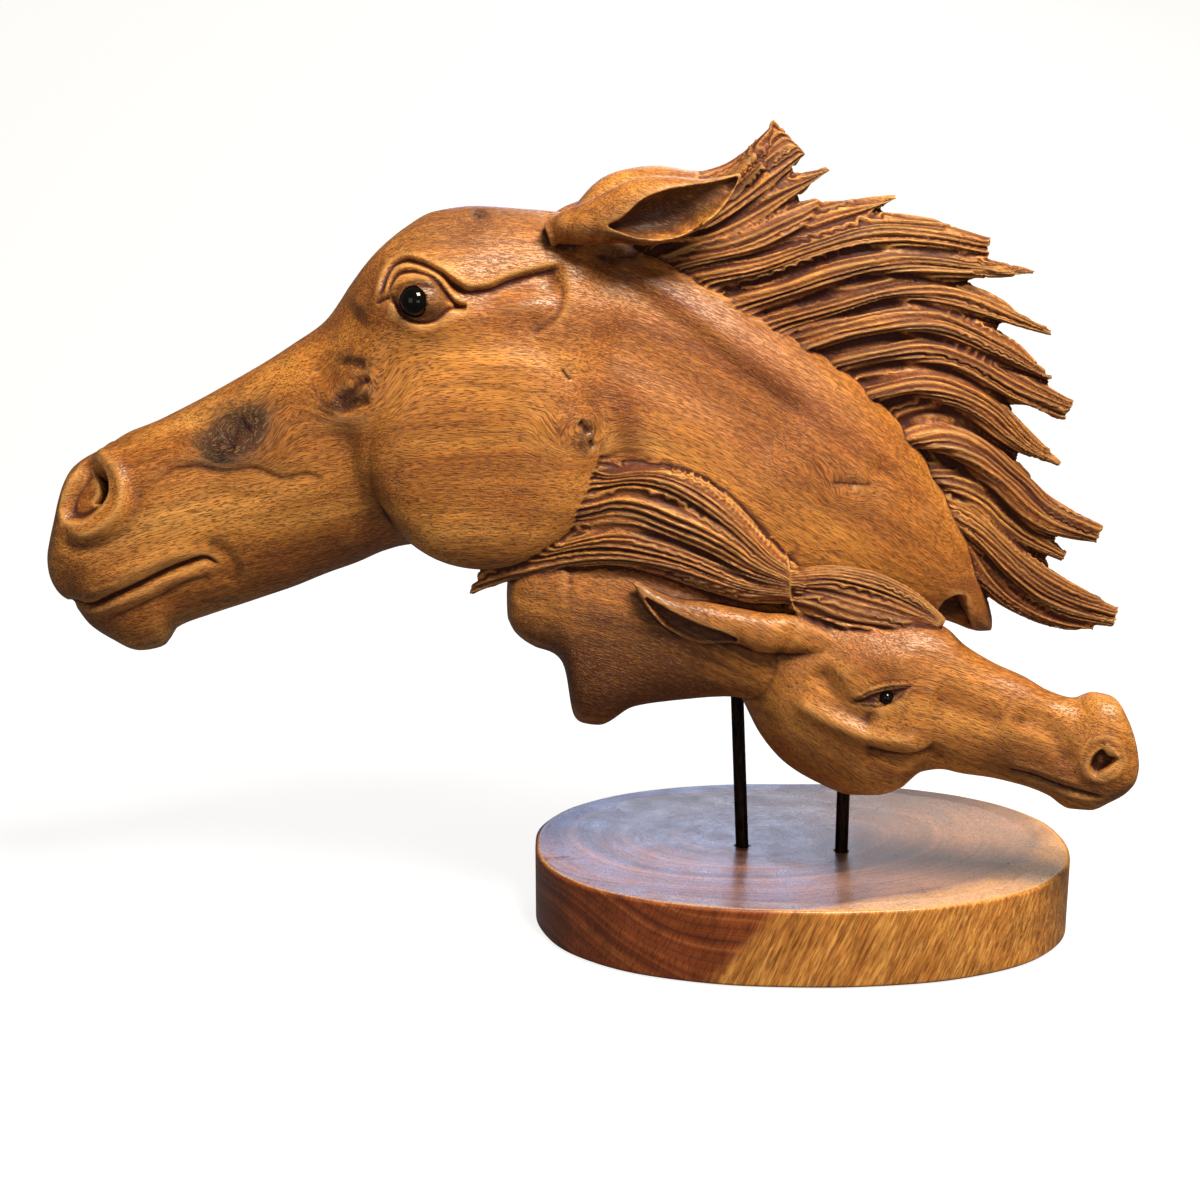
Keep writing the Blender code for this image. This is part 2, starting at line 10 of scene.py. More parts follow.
import bpy
import numpy as np
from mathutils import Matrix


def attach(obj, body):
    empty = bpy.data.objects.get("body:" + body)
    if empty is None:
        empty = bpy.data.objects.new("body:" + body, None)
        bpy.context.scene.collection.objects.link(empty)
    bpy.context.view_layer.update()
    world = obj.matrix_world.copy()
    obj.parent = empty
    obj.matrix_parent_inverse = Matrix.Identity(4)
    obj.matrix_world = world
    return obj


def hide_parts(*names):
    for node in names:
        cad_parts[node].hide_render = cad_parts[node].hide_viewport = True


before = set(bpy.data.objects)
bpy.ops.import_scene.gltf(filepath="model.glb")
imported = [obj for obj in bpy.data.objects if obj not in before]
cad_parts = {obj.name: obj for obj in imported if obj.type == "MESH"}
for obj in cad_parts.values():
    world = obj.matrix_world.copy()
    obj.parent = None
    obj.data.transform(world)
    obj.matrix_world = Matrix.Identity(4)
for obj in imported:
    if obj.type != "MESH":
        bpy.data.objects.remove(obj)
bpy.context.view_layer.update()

MM = 0.001

# Cell of the fused carving, and its triangles after lightening
CELL = 0.62
CARVING_TRIANGLES = 192000

# Stands for a place that a body doesn't reach
NOWHERE = 999.0

# How full a section is: 2 is an oval, and more is squarer
HORSE_POWER = 2.3
FOAL_POWER = 2.3
FOAL_NECK_POWER = 2.6
MANE_WEB_POWER = 3.0
MANE_LOCK_POWER = 2.5
EAR_POWER = 2.2

# Big horse and foal: the main forms, the same as in the solids

# Big horse: along X, crown, underside, half width, height of the widest line
HORSE = (
    (-342, 176, 168, 5, 172), (-340, 183, 161, 11, 173), (-337, 193, 156, 15, 176),
    (-333, 206, 153, 18, 181), (-329, 214, 149, 20, 184), (-324, 218, 142, 22, 186),
    (-316, 222, 136, 24, 187), (-303, 230, 130, 25, 186), (-293, 234, 132, 25, 188),
    (-286, 237, 141, 25, 191), (-270, 245, 147, 25, 197), (-250, 256, 154, 27, 205),
    (-230, 268, 161, 30, 215), (-213, 280, 168, 33, 224), (-202, 295, 172, 36, 233),
    (-190, 309, 177, 39, 242), (-178, 319, 180, 41, 248), (-165, 326, 181, 42, 250),
    (-148, 328, 182, 42, 250), (-128, 327, 184, 41, 248), (-108, 325, 180, 39, 242),
    (-90, 319, 165, 37, 234), (-70, 311, 150, 36, 224), (-45, 300, 144, 35, 214),
    (-20, 285, 142, 34, 204), (5, 268, 143, 33, 197), (28, 249, 145, 31, 189),
    (45, 229, 145, 28, 181), (60, 205, 144, 24, 173), (71, 185, 141, 18, 163),
    (79, 163, 139, 11, 151), (84, 146, 139, 4, 142),
)

# Foal's head, with its place in depth in the last column
FOAL = (
    (-36, 152, 126, 8, 139, -14), (-30, 158, 112, 17, 136, -17), (-22, 160, 97, 21, 129, -21),
    (-12, 161, 86, 24, 121, -25), (4, 161, 77, 26, 116, -29), (17, 160, 73, 26, 112, -32),
    (29, 159, 74, 25, 110, -35), (39, 157, 79, 24, 111, -38), (47, 155, 86, 22, 114, -40),
    (56, 151, 88, 20, 115, -42), (64, 144, 87, 18, 114, -45), (76, 137, 86, 16, 111, -48),
    (88, 132, 84, 15, 107, -51), (100, 126, 80, 14, 102, -54), (109, 124, 75, 14, 99, -57),
    (117, 127, 75, 15, 99, -59), (124, 126, 79, 14, 100, -61), (130, 118, 83, 12, 99, -62),
    (134, 108, 88, 8, 97, -63), (136, 99, 93, 3, 96, -63),
)

# Foal's neck, cut short at its left end
FOAL_NECK = (
    (-135, 166, 149, 8, 158, -16), (-132, 176, 144, 16, 160, -16), (-123, 184, 137, 22, 160, -15),
    (-113, 188, 133, 25, 158, -14), (-109, 188, 126, 26, 154, -14), (-107, 188, 106, 26, 148, -14),
    (-104, 188, 101, 27, 145, -14), (-95, 188, 100, 28, 144, -14), (-79, 186, 109, 29, 146, -14),
    (-58, 180, 113, 30, 146, -15), (-37, 172, 115, 30, 144, -16), (-20, 164, 112, 28, 138, -17),
    (0, 156, 104, 22, 130, -18), (14, 150, 110, 12, 128, -18),
)

# Wood behind the locks: along X, upper edge, lower edge, half width, middle height
MANE_WEB = (
    (-100, 322, 296, 9, 306), (-70, 326, 282, 13.5, 300), (-36, 328, 266, 14, 290),
    (-4, 322, 248, 14, 276), (22, 319, 228, 13.5, 260), (46, 309, 204, 12.5, 240),
    (64, 299, 172, 10.5, 216), (76, 280, 160, 8, 196), (85, 257, 156, 6, 186),
    (93, 215, 155, 4.5, 177), (102, 186, 155, 3, 167), (110, 168, 156, 1.5, 161),
)

# Cushions on the main forms: centre and radii, with how square they are
PADS = (
    ((-143, -26, 228), (53, 20, 54), 3.0),
    ((-143, 26, 228), (53, 20, 54), 3.0),
    ((8, -7, 122), (25, 17, 23), 2.0),
    ((-88, -24, 209), (12, 14, 14), 2.4),
)

# Soft swellings of the surface: centre, half length and half height, and how far it rises
MOUNDS = (
    ((-169, 295), (21, 16), 7.0),
    ((-128, 288), (22, 6), 1.6),
)
# Seams between the forms that are sanded away: centre, half length and half height, and how
# many times they are sanded
SANDED = (
    ((-143, 272), (70, 26)),
    ((-88, 209), (24, 22)),
    ((-104, 126), (20, 34)),
    ((-30, 284), (44, 16)),
)
SANDINGS = 120

# Hair

# Locks of the big mane from root to tip: along X, height, half width in the side view
MANE_LOCKS = (
    ((-84, 309, 6), (-70, 316, 7), (-50, 325, 9), (-31, 339, 10.5), (-13, 357, 10.5)),
    ((-76, 303, 6), (-64, 310, 7), (-43, 320, 9), (-21, 332, 8), (4, 344, 1.5)),
    ((-72, 301, 6), (-58, 306, 7), (-25, 317, 8), (-8, 325, 6), (0, 331, 1.5)),
    ((-72, 299, 6), (-58, 303, 7), (-25, 313, 8), (2, 322, 8), (33, 332, 1.5)),
    ((-68, 295, 6), (-55, 299, 7), (-21, 306, 8.5), (13, 317, 8.5), (43, 316, 8), (74, 311, 5)),
    ((-52, 282, 6), (-38, 288, 7), (-12, 296, 8), (18, 306, 8), (53, 304, 7.5), (94, 300, 1.5)),
    ((-38, 273, 6), (-25, 279, 7), (1, 286, 8), (31, 295, 8), (62, 289, 7.5), (103, 274, 1.5)),
    ((-24, 264, 6), (-11, 270, 7), (15, 279, 8), (45, 281, 8), (76, 270, 7.5), (104, 254, 1.5)),
    ((-9, 257, 6), (4, 262, 7), (32, 269, 8), (59, 266, 8.5), (86, 252, 8), (113, 240, 5.5)),
    ((7, 244, 6), (20, 249, 7), (44, 254, 8), (66, 247, 8.5), (87, 231, 7.5), (110, 216, 1.5)),
    ((25, 229, 6), (38, 231, 7), (58, 229, 8.5), (79, 216, 9.5), (102, 195, 9), (130, 184, 4.5)),
    ((38, 220, 6), (50, 216, 7), (66, 209, 8), (87, 192, 8), (115, 174, 3)),
    ((48, 214, 6), (59, 203, 7), (73, 189, 8.5), (95, 168, 9.5), (116, 154, 9), (140, 146, 5)),
    ((60, 200, 5), (67, 189, 6), (76, 171, 7.5), (91, 157, 7), (112, 146, 5), (130, 142, 2.5)),
)
# Half thickness of those locks by the share of the way from root to tip, and the middle's depth
MANE_DEPTH = ((0.0, 8.0), (0.2, 13.5), (0.42, 15.5), (0.7, 11.5), (1.0, 4.5))
MANE_MIDDLE = -2.0
# How much nearer or farther each lock in turn lies, so that none is level with the next
MANE_STEPS = (1.3, -0.9, 0.6, -1.4, 0.2)
# Upper edge thinner and lower edge thicker by this much, so that a lock overlaps the next
MANE_SHINGLE = 3.6
FOAL_SHINGLE = 1.4

# Hair over the crown behind the ears
CREST = ((-103, 323, 5), (-89, 332, 9), (-71, 335, 10), (-53, 334, 9), (-36, 339, 8), (-26, 347, 7))
CREST_DEPTH = 15.0

# Locks of the foal's mane and forelock: along X, height, half width, half thickness, place in
# depth
FOAL_LOCKS = (
    ((-7, 171, 4.5, 8, -40), (-23, 183, 6, 9, -40), (-36, 196, 7, 9, -39), (-51, 208, 8, 9, -38),
     (-71, 214, 8, 8, -37), (-90, 214, 6, 8, -33), (-104, 211, 4, 6, -29)),
    ((-7, 169, 4.5, 8, -41), (-26, 178, 7, 9, -41), (-43, 190, 8, 9, -40), (-62, 198, 9, 9, -38),
     (-85, 202, 9, 8, -35), (-104, 197, 8, 7, -31), (-122, 187, 5, 6, -28)),
    ((-7, 167, 4.5, 8, -41), (-27, 168, 6, 9, -40), (-47, 175, 8, 9, -39), (-68, 183, 9, 9, -37),
     (-92, 186, 9, 9, -34), (-116, 180, 8, 8, -30), (-137, 175, 7, 6, -28), (-151, 163, 2, 3, -27)),
)
FORELOCK_LOCKS = (
    ((-14, 172, 5, 6, -42), (2, 171.5, 7, 7, -40), (21, 169, 7.5, 7.5, -39), (38, 163, 6, 5.5, -42),
     (54, 155, 2, 2, -45)),
    ((-14, 168, 5, 6, -43), (7, 163, 7, 6.5, -42), (30, 159, 6, 5.5, -43), (52, 155, 2, 2, -46)),
    ((-12, 165, 5, 6, -42), (4, 158.5, 6, 6, -43), (22, 156, 6, 6, -43.5), (40, 154, 5, 4, -45),
     (51, 152, 2, 2, -46)),
)

# Lines that the strands follow, in order across the hair
MANE = (
    ((-98, 331), (-87, 338), (-72, 343), (-56, 342), (-44, 346)),
    ((-101, 325), (-88, 331), (-71, 334), (-54, 334), (-42, 341)),
    ((-100, 319), (-86, 324), (-68, 328), (-50, 333), (-38, 342)),
    ((-77, 318), (-52, 329), (-37, 341), (-26, 354), (-19, 360)),
    ((-71, 315), (-47, 326), (-30, 340), (-16, 352), (-7, 356)),
    ((-66, 312), (-45, 320), (-26, 331), (-11, 339), (2, 345)),
    ((-62, 308), (-41, 315), (-22, 323), (-9, 330), (-1, 335)),
    ((-60, 305), (-36, 311), (-15, 318), (8, 327), (30, 332)),
    ((-55, 302), (-30, 308), (-4, 315), (17, 322), (36, 324)),
    ((-51, 298), (-25, 304), (0, 312), (25, 319), (51, 318), (71, 314)),
    ((-46, 294), (-21, 301), (4, 309), (30, 314), (51, 313), (71, 309)),
    ((-39, 290), (-15, 296), (9, 303), (32, 309), (54, 308), (69, 304)),
    ((-33, 285), (-10, 291), (13, 297), (37, 303), (60, 302), (89, 300)),
    ((-27, 280), (-4, 286), (20, 293), (41, 297), (61, 296), (76, 291)),
    ((-20, 276), (3, 282), (24, 289), (46, 291), (63, 289), (83, 281), (98, 275)),
    ((-13, 272), (10, 279), (31, 285), (50, 285), (68, 278), (84, 269)),
    ((-6, 268), (16, 275), (38, 279), (57, 277), (79, 267), (101, 255)),
    ((1, 264), (23, 270), (44, 273), (64, 267), (84, 257), (111, 245)),
    ((9, 259), (30, 264), (51, 266), (69, 260), (87, 248), (111, 241)),
    ((17, 254), (36, 258), (56, 258), (71, 251), (85, 242), (92, 235)),
    ((24, 247), (43, 252), (63, 249), (79, 240), (92, 228), (107, 218)),
    ((30, 241), (48, 245), (65, 242), (81, 232), (93, 223), (102, 217)),
    ((36, 233), (53, 237), (68, 233), (84, 223), (96, 212), (105, 201), (128, 190)),
    ((41, 225), (57, 228), (73, 223), (88, 211), (103, 198), (126, 188)),
    ((47, 218), (62, 220), (76, 214), (90, 201), (104, 190), (122, 181)),
    ((52, 211), (66, 210), (78, 202), (90, 190), (102, 181), (112, 177)),
    ((57, 204), (70, 200), (82, 189), (94, 177), (107, 170), (117, 166)),
    ((61, 197), (72, 191), (84, 180), (98, 169), (114, 160), (137, 151)),
    ((65, 190), (75, 182), (87, 170), (101, 160), (117, 153), (134, 146)),
    ((68, 184), (77, 173), (87, 163), (99, 154), (114, 148), (128, 144)),
    ((70, 178), (78, 166), (86, 157), (97, 151), (108, 146)),
)
FOAL_MANE = (
    ((-10, 177), (-19, 185), (-31, 197), (-43, 208), (-56, 216), (-71, 221), (-88, 220)),
    ((-10, 176), (-24, 185), (-37, 197), (-51, 208), (-65, 215), (-80, 217), (-91, 215)),
    ((-11, 174), (-26, 183), (-41, 195), (-56, 205), (-71, 211), (-85, 212), (-92, 210)),
    ((-11, 173), (-28, 180), (-45, 190), (-60, 199), (-75, 204), (-89, 205), (-103, 200)),
    ((-11, 171), (-30, 177), (-49, 186), (-66, 194), (-83, 198), (-100, 196), (-118, 190)),
    ((-12, 170), (-30, 173), (-49, 180), (-68, 187), (-88, 190), (-107, 188), (-131, 181)),
    ((-13, 168), (-30, 170), (-47, 175), (-66, 181), (-85, 184), (-107, 182), (-129, 176),
     (-144, 172)),
    ((-13, 166), (-30, 167), (-45, 171), (-64, 176), (-83, 178), (-105, 175), (-126, 170),
     (-149, 162)),
)

FORELOCK = (
    ((-9, 179), (3, 181), (20, 179), (36, 172), (47, 164), (55, 156)),
    ((-9, 176), (6, 177), (21, 174), (36, 168), (47, 161), (53, 155)),
    ((-10, 173), (6, 172), (21, 168), (36, 162), (51, 155)),
    ((-11, 169), (2, 166), (17, 161), (32, 157), (49, 154)),
)

# Ears: along X, height, half width, half thickness, place in depth
EAR = (
    (-116, 317, 5, 6, -24), (-108, 320, 7, 9, -26), (-98, 322, 9, 10.5, -29),
    (-88, 324.5, 11, 11, -31), (-76, 327, 14, 11.5, -32), (-64, 328.5, 13, 10.5, -33),
    (-52, 331.5, 9.5, 8.5, -33), (-44, 336, 5.5, 5.5, -32.5), (-36, 342, 1, 2, -31.5),
)
# Hollow of its open side: the body that is taken out
EAR_HOLLOW = (
    (-91, 321.6, 0.5, 2, -39), (-85, 321.8, 3, 6, -40), (-80, 322.6, 6, 9, -40.5),
    (-74.8, 324, 8.3, 11, -41), (-68, 325.6, 9.6, 12, -41), (-60, 327.6, 9.6, 12, -41),
    (-54, 330.2, 8.2, 10, -41), (-48.6, 332.8, 6.6, 8, -40), (-43, 336.3, 4.2, 6, -38),
    (-39, 339.4, 1.8, 3, -35), (-37, 341.4, 0.4, 1, -34),
)
FOAL_EAR = (
    (10, 143, 5, 4, -46), (-2, 147, 7, 6, -45), (-12, 149.5, 8.5, 7, -45),
    (-24, 150.5, 8.5, 7.5, -46), (-35, 153.5, 7.6, 7.5, -46.5), (-50, 155, 9, 7, -46),
    (-62, 158.5, 7, 5.5, -46), (-72, 165, 4, 4, -45), (-80, 173.5, 0.8, 1.5, -44),
)
FOAL_EAR_HOLLOW = (
    (-75, 166.4, 0.5, 1.5, -48), (-69, 161, 2.6, 4, -49.5), (-61, 154.6, 4.6, 6, -50.5),
    (-50, 149.8, 4.8, 7, -51.5), (-42, 149, 3.4, 6, -51.5), (-35.5, 148.4, 1.2, 3, -51),
)

# Areas of the side view that can hold hair
MANE_AREA = (
    (-88, 306), (-82, 318), (-66, 322), (-54, 330), (-52, 345), (-40, 352), (-30, 368), (2, 368),
    (12, 350), (80, 324), (108, 300), (122, 262), (124, 232), (152, 182), (152, 134), (86, 138),
    (72, 160), (62, 184), (50, 206), (28, 230), (8, 252), (-32, 276), (-62, 290), (-86, 300),
)
FOAL_MANE_AREA = (
    (-8, 186), (-31, 205), (-56, 224), (-75, 229), (-96, 225), (-110, 209), (-127, 196),
    (-142, 183), (-154, 171), (-157, 158), (-140, 160), (-120, 166), (-95, 171), (-80, 171.5),
    (-66, 168), (-50, 164.5), (-31, 162), (-8, 159),
)
FORELOCK_AREA = (
    (-14, 184), (8, 187), (24, 185), (40, 179), (52, 170), (61, 158), (52, 148), (36, 148),
    (20, 150), (4, 152), (-10, 159),
)

# Hair of each part: its area and its lines, strands from one line to the next, the middle of
# its depth, and how far from there its face turns into the edge
HAIR_PARTS = (
    (MANE_AREA, MANE, 2.2, MANE_MIDDLE, 15.0),
    (FOAL_MANE_AREA, FOAL_MANE, 2.0, -38.0, 9.0),
    (FORELOCK_AREA, FORELOCK, 2.6, -41.0, 7.0),
)
# Strands that the number runs on by for each millimetre down a lock's edge
STRAND_DRIFT = 0.14
# Farthest that hair lies from the middle in depth, left and right of where the ear ends
MANE_HALF_LEFT = 23.5
MANE_HALF_RIGHT = 33.5
# Depth of the fine grooves between strands, and of the deep ones between clumps
FINE_GROOVE = 1.4
DEEP_GROOVE = 2.0
# Strand lines: step of the grid that holds them, how far beside the outer ones one more runs,
# how far each runs on past its ends, and the widest spacing
LINE_STEP = 1.8
LINE_BESIDE = 9.0
LINE_RUN_ON = 14.0
LINE_WIDEST = 30.0

# Carved strokes: depth (below 0 is raised), half width on the left and on the right of the way
# the path runs, and the path
HORSE_STROKES = (
    # cheek, front and back edge
    (2.6, 6.0, 11.0, ((-204, 242), (-200, 218), (-196, 204), (-189, 194), (-178, 182))),
    (1.2, 6.0, 8.0, ((-97, 206), (-89, 222), (-88, 240), (-93, 260), (-106, 281))),
    # below the bone under the eye
    (1.2, 9.0, 8.0, ((-112, 281), (-140, 275), (-165, 269), (-182, 260), (-192, 250))),
    # front edge of the brow and the hollow in front of it
    (0.9, 4.0, 2.6, ((-191, 289), (-187, 297), (-183.1, 303.5), (-178, 309), (-171, 313),
                     (-162, 315.5))),
    (2.0, 8.0, 8.0, ((-194, 288), (-204, 274), (-217, 256))),
    # overhanging edge behind the eye with the scooped hollow under it
    (4.2, 1.3, 10.0, ((-160.5, 300.8), (-154.2, 296.6), (-149.2, 294.4), (-144.7, 294.8),
                     (-139, 295.9), (-132.6, 298.8), (-125.6, 301), (-117, 303),
                     (-108, 304.5))),
    # soft right end of that hollow
    (1.3, 1.8, 7.0, ((-115, 303.5), (-111, 299), (-109.5, 293), (-111.5, 286.5),
                     (-116.5, 281), (-124, 277))),
    # long hollows of the neck
    (4.0, 13.0, 13.0, ((-98, 279), (-56, 256), (-9, 222))),
    (1.2, 5.0, 7.0, ((22, 221), (39, 213), (50, 198))),
    # valley that runs from under the ear along the crest, and the soft edge over it
    (2.6, 4.0, 12.0, ((-102, 311), (-93, 306), (-83, 298), (-74, 291), (-62, 282), (-46, 270),
                      (-24, 254), (0, 236))),
    # collar and creases at the root of the ear
    (1.0, 3.0, 2.4, ((-116.5, 328), (-114.5, 319.9), (-111.1, 314.5), (-107.7, 310.5),
                     (-101, 307))),
    (0.5, 1.6, 2.4, ((-105.9, 330), (-105.4, 323.9), (-106.7, 318.5), (-105.5, 312))),
    (0.4, 1.4, 2.4, ((-98.1, 329.2), (-96, 323.9), (-95.4, 318.5), (-98.1, 311.8))),
    # groove under the ear
    (1.6, 1.8, 3.0, ((-94, 316), (-84.4, 313.2), (-76.2, 311.2), (-66.6, 312), (-58, 315.5),
                     (-49, 323))),
    # face: the long vein and the slanting crease
    (0.7, 1.2, 3.0, ((-286, 215), (-269, 219), (-258, 217), (-243, 219), (-231, 215),
                     (-219, 217), (-209, 211))),
    (0.5, 1.4, 2.6, ((-268, 219), (-278, 218), (-285, 213), (-292, 205))),
    (-0.7, 4.0, 4.0, ((-284, 221), (-262, 224), (-240, 225))),
    (0.4, 2.0, 3.0, ((-262, 209), (-245, 206), (-228, 208))),
    # nostril: rim, and the groove under it
    (-2.4, 3.2, 3.6, ((-322, 221), (-314, 222), (-305, 217), (-301.5, 208), (-304, 199),
                      (-311, 192.5), (-319, 188.5), (-329, 188))),
    (1.6, 4.0, 4.0, ((-334, 186), (-321, 182), (-309, 185), (-299, 193), (-294.5, 204),
                     (-296, 216))),
    # mouth, the lips over and under it, and the second crease
    (3.2, 1.0, 2.0, ((-345, 146), (-337, 150.5), (-328, 155.5), (-322, 155), (-308, 161),
                     (-295, 167), (-285, 172), (-275, 176), (-267, 178), (-259, 173))),
    (-1.4, 4.0, 3.0, ((-326, 160), (-312, 165), (-298, 172), (-284, 178), (-268, 183))),
    (-0.6, 2.4, 2.4, ((-324, 151), (-309, 156), (-294, 162), (-279, 169), (-266, 173))),
    (0.7, 1.0, 3.0, ((-316, 148), (-304, 153), (-289, 160), (-275, 167), (-261, 170.5))),
    (1.2, 3.0, 5.0, ((-268, 186), (-258, 181), (-254, 172), (-258, 164))),
)

# Fine strokes round the eye of the big horse
LID_STROKES = (
    # crease round the eyeball, above and below
    (2.8, 0.9, 1.3, ((-180.6, 291.2), (-179.2, 297), (-176.9, 299.6), (-172.4, 301.1),
                     (-167.4, 300.7), (-163, 298.9), (-159.9, 296.2), (-157.4, 293),
                     (-154.9, 290.4), (-149.5, 288.1))),
    (2.4, 1.3, 0.9, ((-180.6, 291.2), (-178.1, 288.9), (-175.7, 285.1), (-171.6, 282.4),
                     (-166.5, 281.8), (-162.1, 283.1), (-158.8, 285.5), (-156.2, 287.7),
                     (-149.5, 288.1))),
    # one deep crease over the lid, which runs on into the overhanging edge
    (3.2, 1.0, 1.9, ((-185.2, 289.5), (-184, 294.5), (-182.2, 300), (-179.2, 304.2),
                     (-173.6, 306), (-168.6, 305), (-163.5, 302.9), (-158.5, 300.2),
                     (-154.2, 297.2), (-148, 294.4))),
    # soft fold under the lower lid
    (0.3, 2.0, 3.0, ((-181, 282.5), (-174, 276.5), (-165, 275), (-155, 278.5), (-148, 283))),
    # inner corner and the pit of the outer one
    (0.8, 0.8, 0.8, ((-186.5, 288.8), (-183.5, 289.6), (-179.5, 291.2))),
    (1.8, 1.3, 1.3, ((-155.5, 289), (-149, 288.4))),
)

FOAL_STROKES = (
    # fold over the lid, and the brow
    (0.4, 0.8, 1.2, ((15, 125.5), (20, 129.2), (26.4, 131.8), (34, 132.8), (41, 132.2))),
    (-1.4, 6.0, 5.0, ((6, 131.5), (15, 138), (27, 141), (40, 138))),
    # dark line of the upper and the lower lid
    (0.9, 0.6, 0.9, ((12.4, 121.6), (17.4, 124.6), (20.4, 126.6), (26.4, 128.7), (32.4, 130),
                     (41, 130.8))),
    (0.7, 0.9, 0.6, ((12.4, 121.6), (19.8, 121), (24.4, 120.9), (29.7, 122.8), (35.8, 128.2))),
    # valley behind and under the eye
    (2.6, 5.0, 5.0, ((-2, 138), (3.4, 129), (9.8, 121.5), (16.9, 116.8), (26, 114.2))),
    # cheek bone with its rounded end, and the soft shadow under it
    (-2.2, 3.6, 5.0, ((-11.3, 124.5), (-4.1, 118.7), (8.6, 112.5), (18, 109), (27.3, 107.4),
                      (38, 107), (45, 107.6))),
    (1.9, 1.6, 7.0, ((18, 103.4), (30, 100.4), (40, 99.8), (47, 101.8), (50.5, 107))),
    (0.9, 4.0, 6.0, ((36, 84), (47, 92), (54, 101))),
    # hollow behind the nostril, the nostril's rim and flap, and the mouth
    (1.8, 4.6, 4.0, ((80, 116), (91, 116.6), (97.5, 112.6), (101.6, 105.5), (103.5, 96))),
    (-0.6, 1.5, 1.5, ((111, 95.8), (109.4, 102.2), (111.9, 109), (118.1, 112.1), (124.8, 108.7),
                      (126.9, 102.4), (122.9, 95.3), (115.8, 92.9), (111, 95.8))),
    (-0.8, 1.2, 1.2, ((118, 110), (122.1, 106.8), (125.2, 103))),
    (2.0, 0.7, 1.3, ((80, 95), (82.9, 93.7), (91.1, 92), (100.1, 88.8), (110.5, 86.6),
                     (121, 84.8))),
    (-0.8, 1.6, 1.6, ((80, 97.5), (91, 95.5), (101, 92.3), (111, 90))),
    (-0.6, 1.5, 1.5, ((86, 90.3), (98, 86.4), (110, 83.4), (118, 82.6))),
    # long hollow between the eye and the muzzle
    (1.4, 7.0, 7.0, ((46, 126), (62, 121), (78, 114))),
    # right end of the ear's flap, and the crease between the flap and the open side
    (0.7, 3.0, 1.6, ((-18.4, 140.4), (-15.2, 144), (-12.6, 150), (-11.5, 156))),
    (0.4, 1.8, 1.2, ((-32.5, 156), (-34.5, 151), (-33.5, 146), (-28, 142.5))),
)

# Scoops: depth, width of the sloping edge, and the outline
HORSE_SCOOPS = (
    # nostril
    (6.0, 4.0, ((-332, 200), (-330, 193.5), (-323, 192.5), (-316, 195.5), (-311, 200),
                (-307.5, 206), (-307.5, 212), (-310, 217), (-315.5, 219.8), (-321, 219),
                (-326, 213), (-330, 207))),
    (7.0, 2.2, ((-318, 202), (-312, 201.5), (-308.4, 207), (-308.6, 213.5), (-313, 218.2),
                (-319, 217.6), (-316, 211.5), (-315.5, 206))),
    # pit between the ear and the neck
    (2.6, 5.0, ((-97.8, 309.1), (-94.7, 311.8), (-89.9, 313.4), (-83, 313.4), (-76, 312),
                (-76.5, 307.5), (-84.4, 304.4), (-88.5, 303.4), (-94, 305.6))),
    # ragged hollow at the end of the neck
    (10.0, 2.6, ((55.5, 152.5), (58.5, 158.5), (64.5, 161), (68.4, 159.8), (69.4, 154),
                (71.5, 148), (74, 142), (62, 142), (54, 147))),
)
FOAL_SCOOPS = (
    # nostril
    (5.0, 1.4, ((112.2, 98.6), (114, 104.2), (117.8, 107.2), (120.4, 104.6), (124, 103.7),
                (120.4, 97.8), (115, 95))),
    # slit between the lids
    (1.6, 0.9, ((13.2, 121.8), (17.4, 124), (20.4, 125.8), (26.4, 128), (32.4, 129.4), (38, 130),
                (34.4, 127.4), (29.7, 123.6), (24.4, 122), (19.8, 121.6))),
)

# Knots of the big horse: centre, radius of the grain round it, radius of its rough middle
KNOTS = (
    ((-251, 234), 18.0, 9.0),
    ((-199, 256), 19.0, 7.0),
    ((-102, 238), 15.0, 7.0),
    ((14, 212), 10.0, 3.0),
    ((-146, 325), 7.0, 2.5),
)
# Cracks and holes at the knots: depth, half widths, path
KNOT_STROKES = (
    (0.7, 7.0, 7.0, ((-257, 230), (-251, 234), (-245, 238))),
    (0.8, 1.2, 1.2, ((-255, 227), (-251.5, 231), (-250, 236))),
    (0.8, 1.8, 2.2, ((-205, 264.5), (-199, 265.5), (-192, 264))),
    (1.6, 1.6, 2.4, ((-190, 259), (-196, 255.5), (-201, 251), (-207, 248))),
    (1.0, 2.4, 3.0, ((-190, 250), (-197, 247), (-205, 244.5))),
    (2.0, 1.6, 1.4, ((-103, 241), (-100, 238.5), (-98.5, 235))),
    (1.4, 1.0, 1.4, ((-98, 233), (-96.5, 229.5))),
    (0.3, 1.6, 1.6, ((-111, 244), (-105, 249.5), (-96, 247), (-91, 239), (-93, 228), (-99, 223.5),
                     (-107, 228), (-111, 236), (-111, 244))),
    (0.8, 0.6, 0.8, ((-110, 263), (-106, 258))),
    (0.6, 1.4, 1.4, ((-148, 325.5), (-144, 324.5))),
    (0.5, 0.7, 1.0, ((4, 213), (10, 213.2), (17, 212.3), (24, 212.6))),
)

# Eyes: centre of the bead and its radius
BEADS = {
    "horse_eye_near": ((-170.5, -39.5, 291.0), 6.5),
    "horse_eye_far": ((-170.5, 39.5, 291.0), 6.5),
    "foal_eye_near": ((28.5, -57.0, 124.5), 2.8),
    "foal_eye_far": ((37.0, -16.0, 125.0), 2.8),
}
# Oval of the big horse's eyeball: centre, half length, half height, and its tilt; how far its
# top stands from the middle, and how much lower its rim is
EYEBALL = ((-168.2, 291.2), 10.2, 7.5, -0.16)
EYEBALL_TOP = 44.6
EYEBALL_FALL = 4.0

